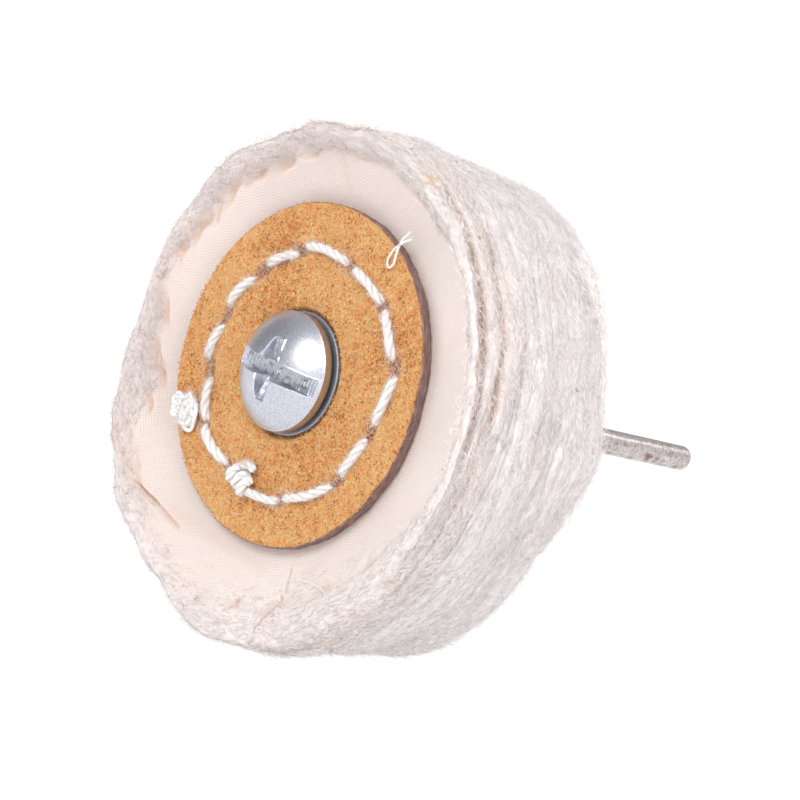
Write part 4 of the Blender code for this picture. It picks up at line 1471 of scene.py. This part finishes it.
def turned_steel(name, node, profile, columns, rust_and_shade_spots):
    grid = spun(profile, columns)
    rust_and_shade = np.zeros(grid.shape[:2])
    for x, depth, z, size, strength in rust_and_shade_spots:
        distance = np.linalg.norm(grid - (x, FACE_Y + depth, z), axis=-1)
        ragged = distance + 0.55 * size * noise(grid, size * 0.45)
        rust_and_shade = np.maximum(rust_and_shade, strength * smooth(size, size * 0.3, ragged))
    add_piece(name, (grid, loop_faces(*grid.shape[:2], close_rows=False)), steel_finish,
              "wheel", "steel", node, fields={"rust_and_shade": rust_and_shade.ravel()})


def shank():
    """Round rod, chamfered inside the hub, with a rounded tip."""
    start, end = 14.1, -FACE_Y
    tip = 0.34
    profile = [(0.0, start), (1.3, start), (SHANK_RADIUS, start + 0.2)]
    for along in np.linspace(start + 0.6, end - 0.5, 150):
        profile.append((SHANK_RADIUS, along))
    for turn in np.linspace(0.0, math.pi / 2, 9):
        profile.append((SHANK_RADIUS - tip * (1.0 - math.cos(turn)),
                        end - tip * (1.0 - math.sin(turn))))
    profile.append((0.0, end))
    turned_steel("steel_shank", "shank", profile, 72, SHANK_RUST_AND_SHADE)


def hub():
    """Flanged T nut with a thread inside its boss, and a plain neck for the shank."""
    flange = LEATHER_SPAN - DISH_DEPTH + 0.1
    back = flange + 1.4
    neck = back + 4.6
    profile = [(0.0, 13.0), (HUB_BORE, 12.0)]
    for along in np.linspace(11.9, 3.5, 120):
        phase = along / THREAD_PITCH % 1.0
        profile.append((HUB_BORE + 0.12 * abs(phase - 0.5), along))
    profile += [(HUB_BORE, 3.4), (3.6, 3.4), (4.0, 3.8), (4.0, flange - 0.02), (4.05, flange),
                (6.3, flange), (6.45, flange + 0.06), (6.5, flange + 0.2), (6.5, back - 0.2),
                (6.45, back - 0.06), (6.3, back), (3.75, back), (3.55, back + 0.08),
                (3.5, back + 0.25)]
    for along in np.linspace(back + 0.5, neck - 0.7, 24):
        profile.append((3.5, along))
    profile += [(3.5, neck - 0.4), (3.4, neck - 0.15), (3.1, neck), (1.75, neck), (1.6, neck),
                (1.55, neck - 0.1), (1.55, 14.0), (0.0, 14.0)]
    turned_steel("turned_hub", "threaded_hub", profile, 120, HUB_RUST)


shank()
hub()


# Studio

# Direction in which a sky brightens, its darkest and its lightest
SKY = ((0.25, -0.10, 0.45), 0.52, 0.84)
REFLECTED_SKY = ((0.80, 0.10, 0.15), 0.26, 0.95)
# Soft boxes: name, place in metres, edge, watts
LAMPS = (("key_light", (0.15, -0.46, 0.27), 0.22, 1.04),
         ("fill_light", (-0.34, -0.40, 0.06), 0.35, 0.07),
         ("side_light", (0.44, -0.12, 0.16), 0.34, 0.86),
         ("edge_light", (0.15, 0.36, 0.33), 0.10, 0.14))


def studio_floor():
    """Pale floor that shows almost white and still catches a soft shadow."""
    half, height = 6000.0, -27.8
    corners = [(-half, -half, height), (half, -half, height), (half, half, height),
               (-half, half, height)]
    mesh = make_mesh("studio_floor", corners, [(0, 1, 2, 3)])
    floor = bpy.data.objects.new("studio_floor", mesh)
    bpy.context.collection.objects.link(floor)
    finish = Finish("studio_floor", roughness=1.0)
    finish.give("Base Color", finish.ramp(finish.noise(900.0), (0.3, 0.24), (0.7, 0.25)))
    finish.give("Specular IOR Level", 0.0)
    finish.give("Emission Color", (1.0, 1.0, 1.0, 1.0))
    seen = finish.node("ShaderNodeLightPath").outputs["Is Camera Ray"]
    finish.give("Emission Strength", finish.plus(finish.times(seen, 0.02), 0.84))
    mesh.materials.append(finish.made)


def sky():
    """Soft light from all round, another sky for reflections, and white behind the object."""
    world = bpy.data.worlds.new("studio")
    bpy.context.scene.world = world
    world.use_nodes = True
    nodes = Nodes(world.node_tree)
    direction = nodes.node("ShaderNodeTexCoord").outputs["Generated"]

    def shaded(lean, dark, light):
        """From dark to light along one direction."""
        product = nodes.node("ShaderNodeVectorMath", operation="DOT_PRODUCT")
        nodes.wire(direction, product.inputs[0])
        nodes.wire(lean, product.inputs[1])
        share = nodes.math("MULTIPLY_ADD", product.outputs["Value"], 0.5, 0.5)
        return nodes.ramp(share, (0.15, dark), (0.80, light))

    ray = nodes.node("ShaderNodeLightPath").outputs
    colour = nodes.blend(ray["Is Glossy Ray"], shaded(*SKY), shaded(*REFLECTED_SKY))
    colour = nodes.blend(ray["Is Camera Ray"], colour, (1.1, 1.1, 1.1))
    nodes.wire(colour, world.node_tree.nodes["Background"].inputs["Color"])


def lamps():
    target = Vector((0.0, (FACE_Y + 8.0) * MM, 0.0))
    for name, position, size, power in LAMPS:
        data = bpy.data.lights.new(name, "AREA")
        data.size = size
        data.energy = power
        lamp = bpy.data.objects.new(name, data)
        bpy.context.collection.objects.link(lamp)
        lamp.location = position
        lamp.rotation_euler = (target - Vector(position)).to_track_quat("-Z", "Y").to_euler()


def camera():
    """81 mm lens, 175 mm from the wheel's face, turned 17 degrees about its own axis."""
    data = bpy.data.cameras.new("camera")
    data.lens = 81.0
    data.sensor_width = 36.0
    data.clip_start = 0.01
    data.clip_end = 20.0
    view = bpy.data.objects.new("camera", data)
    bpy.context.collection.objects.link(view)
    right = Vector((0.68214, 0.67315, 0.28557))
    up = Vector((-0.25605, -0.14592, 0.95559))
    back = Vector((0.68493, -0.72496, 0.07282))
    turn = Matrix((right, up, back)).transposed()
    view.matrix_world = Matrix.Translation((0.127544, -0.186832, 0.013203)) @ turn.to_4x4()
    bpy.context.scene.camera = view


camera()
studio_floor()
sky()
lamps()
bpy.context.scene.view_settings.view_transform = "Standard"
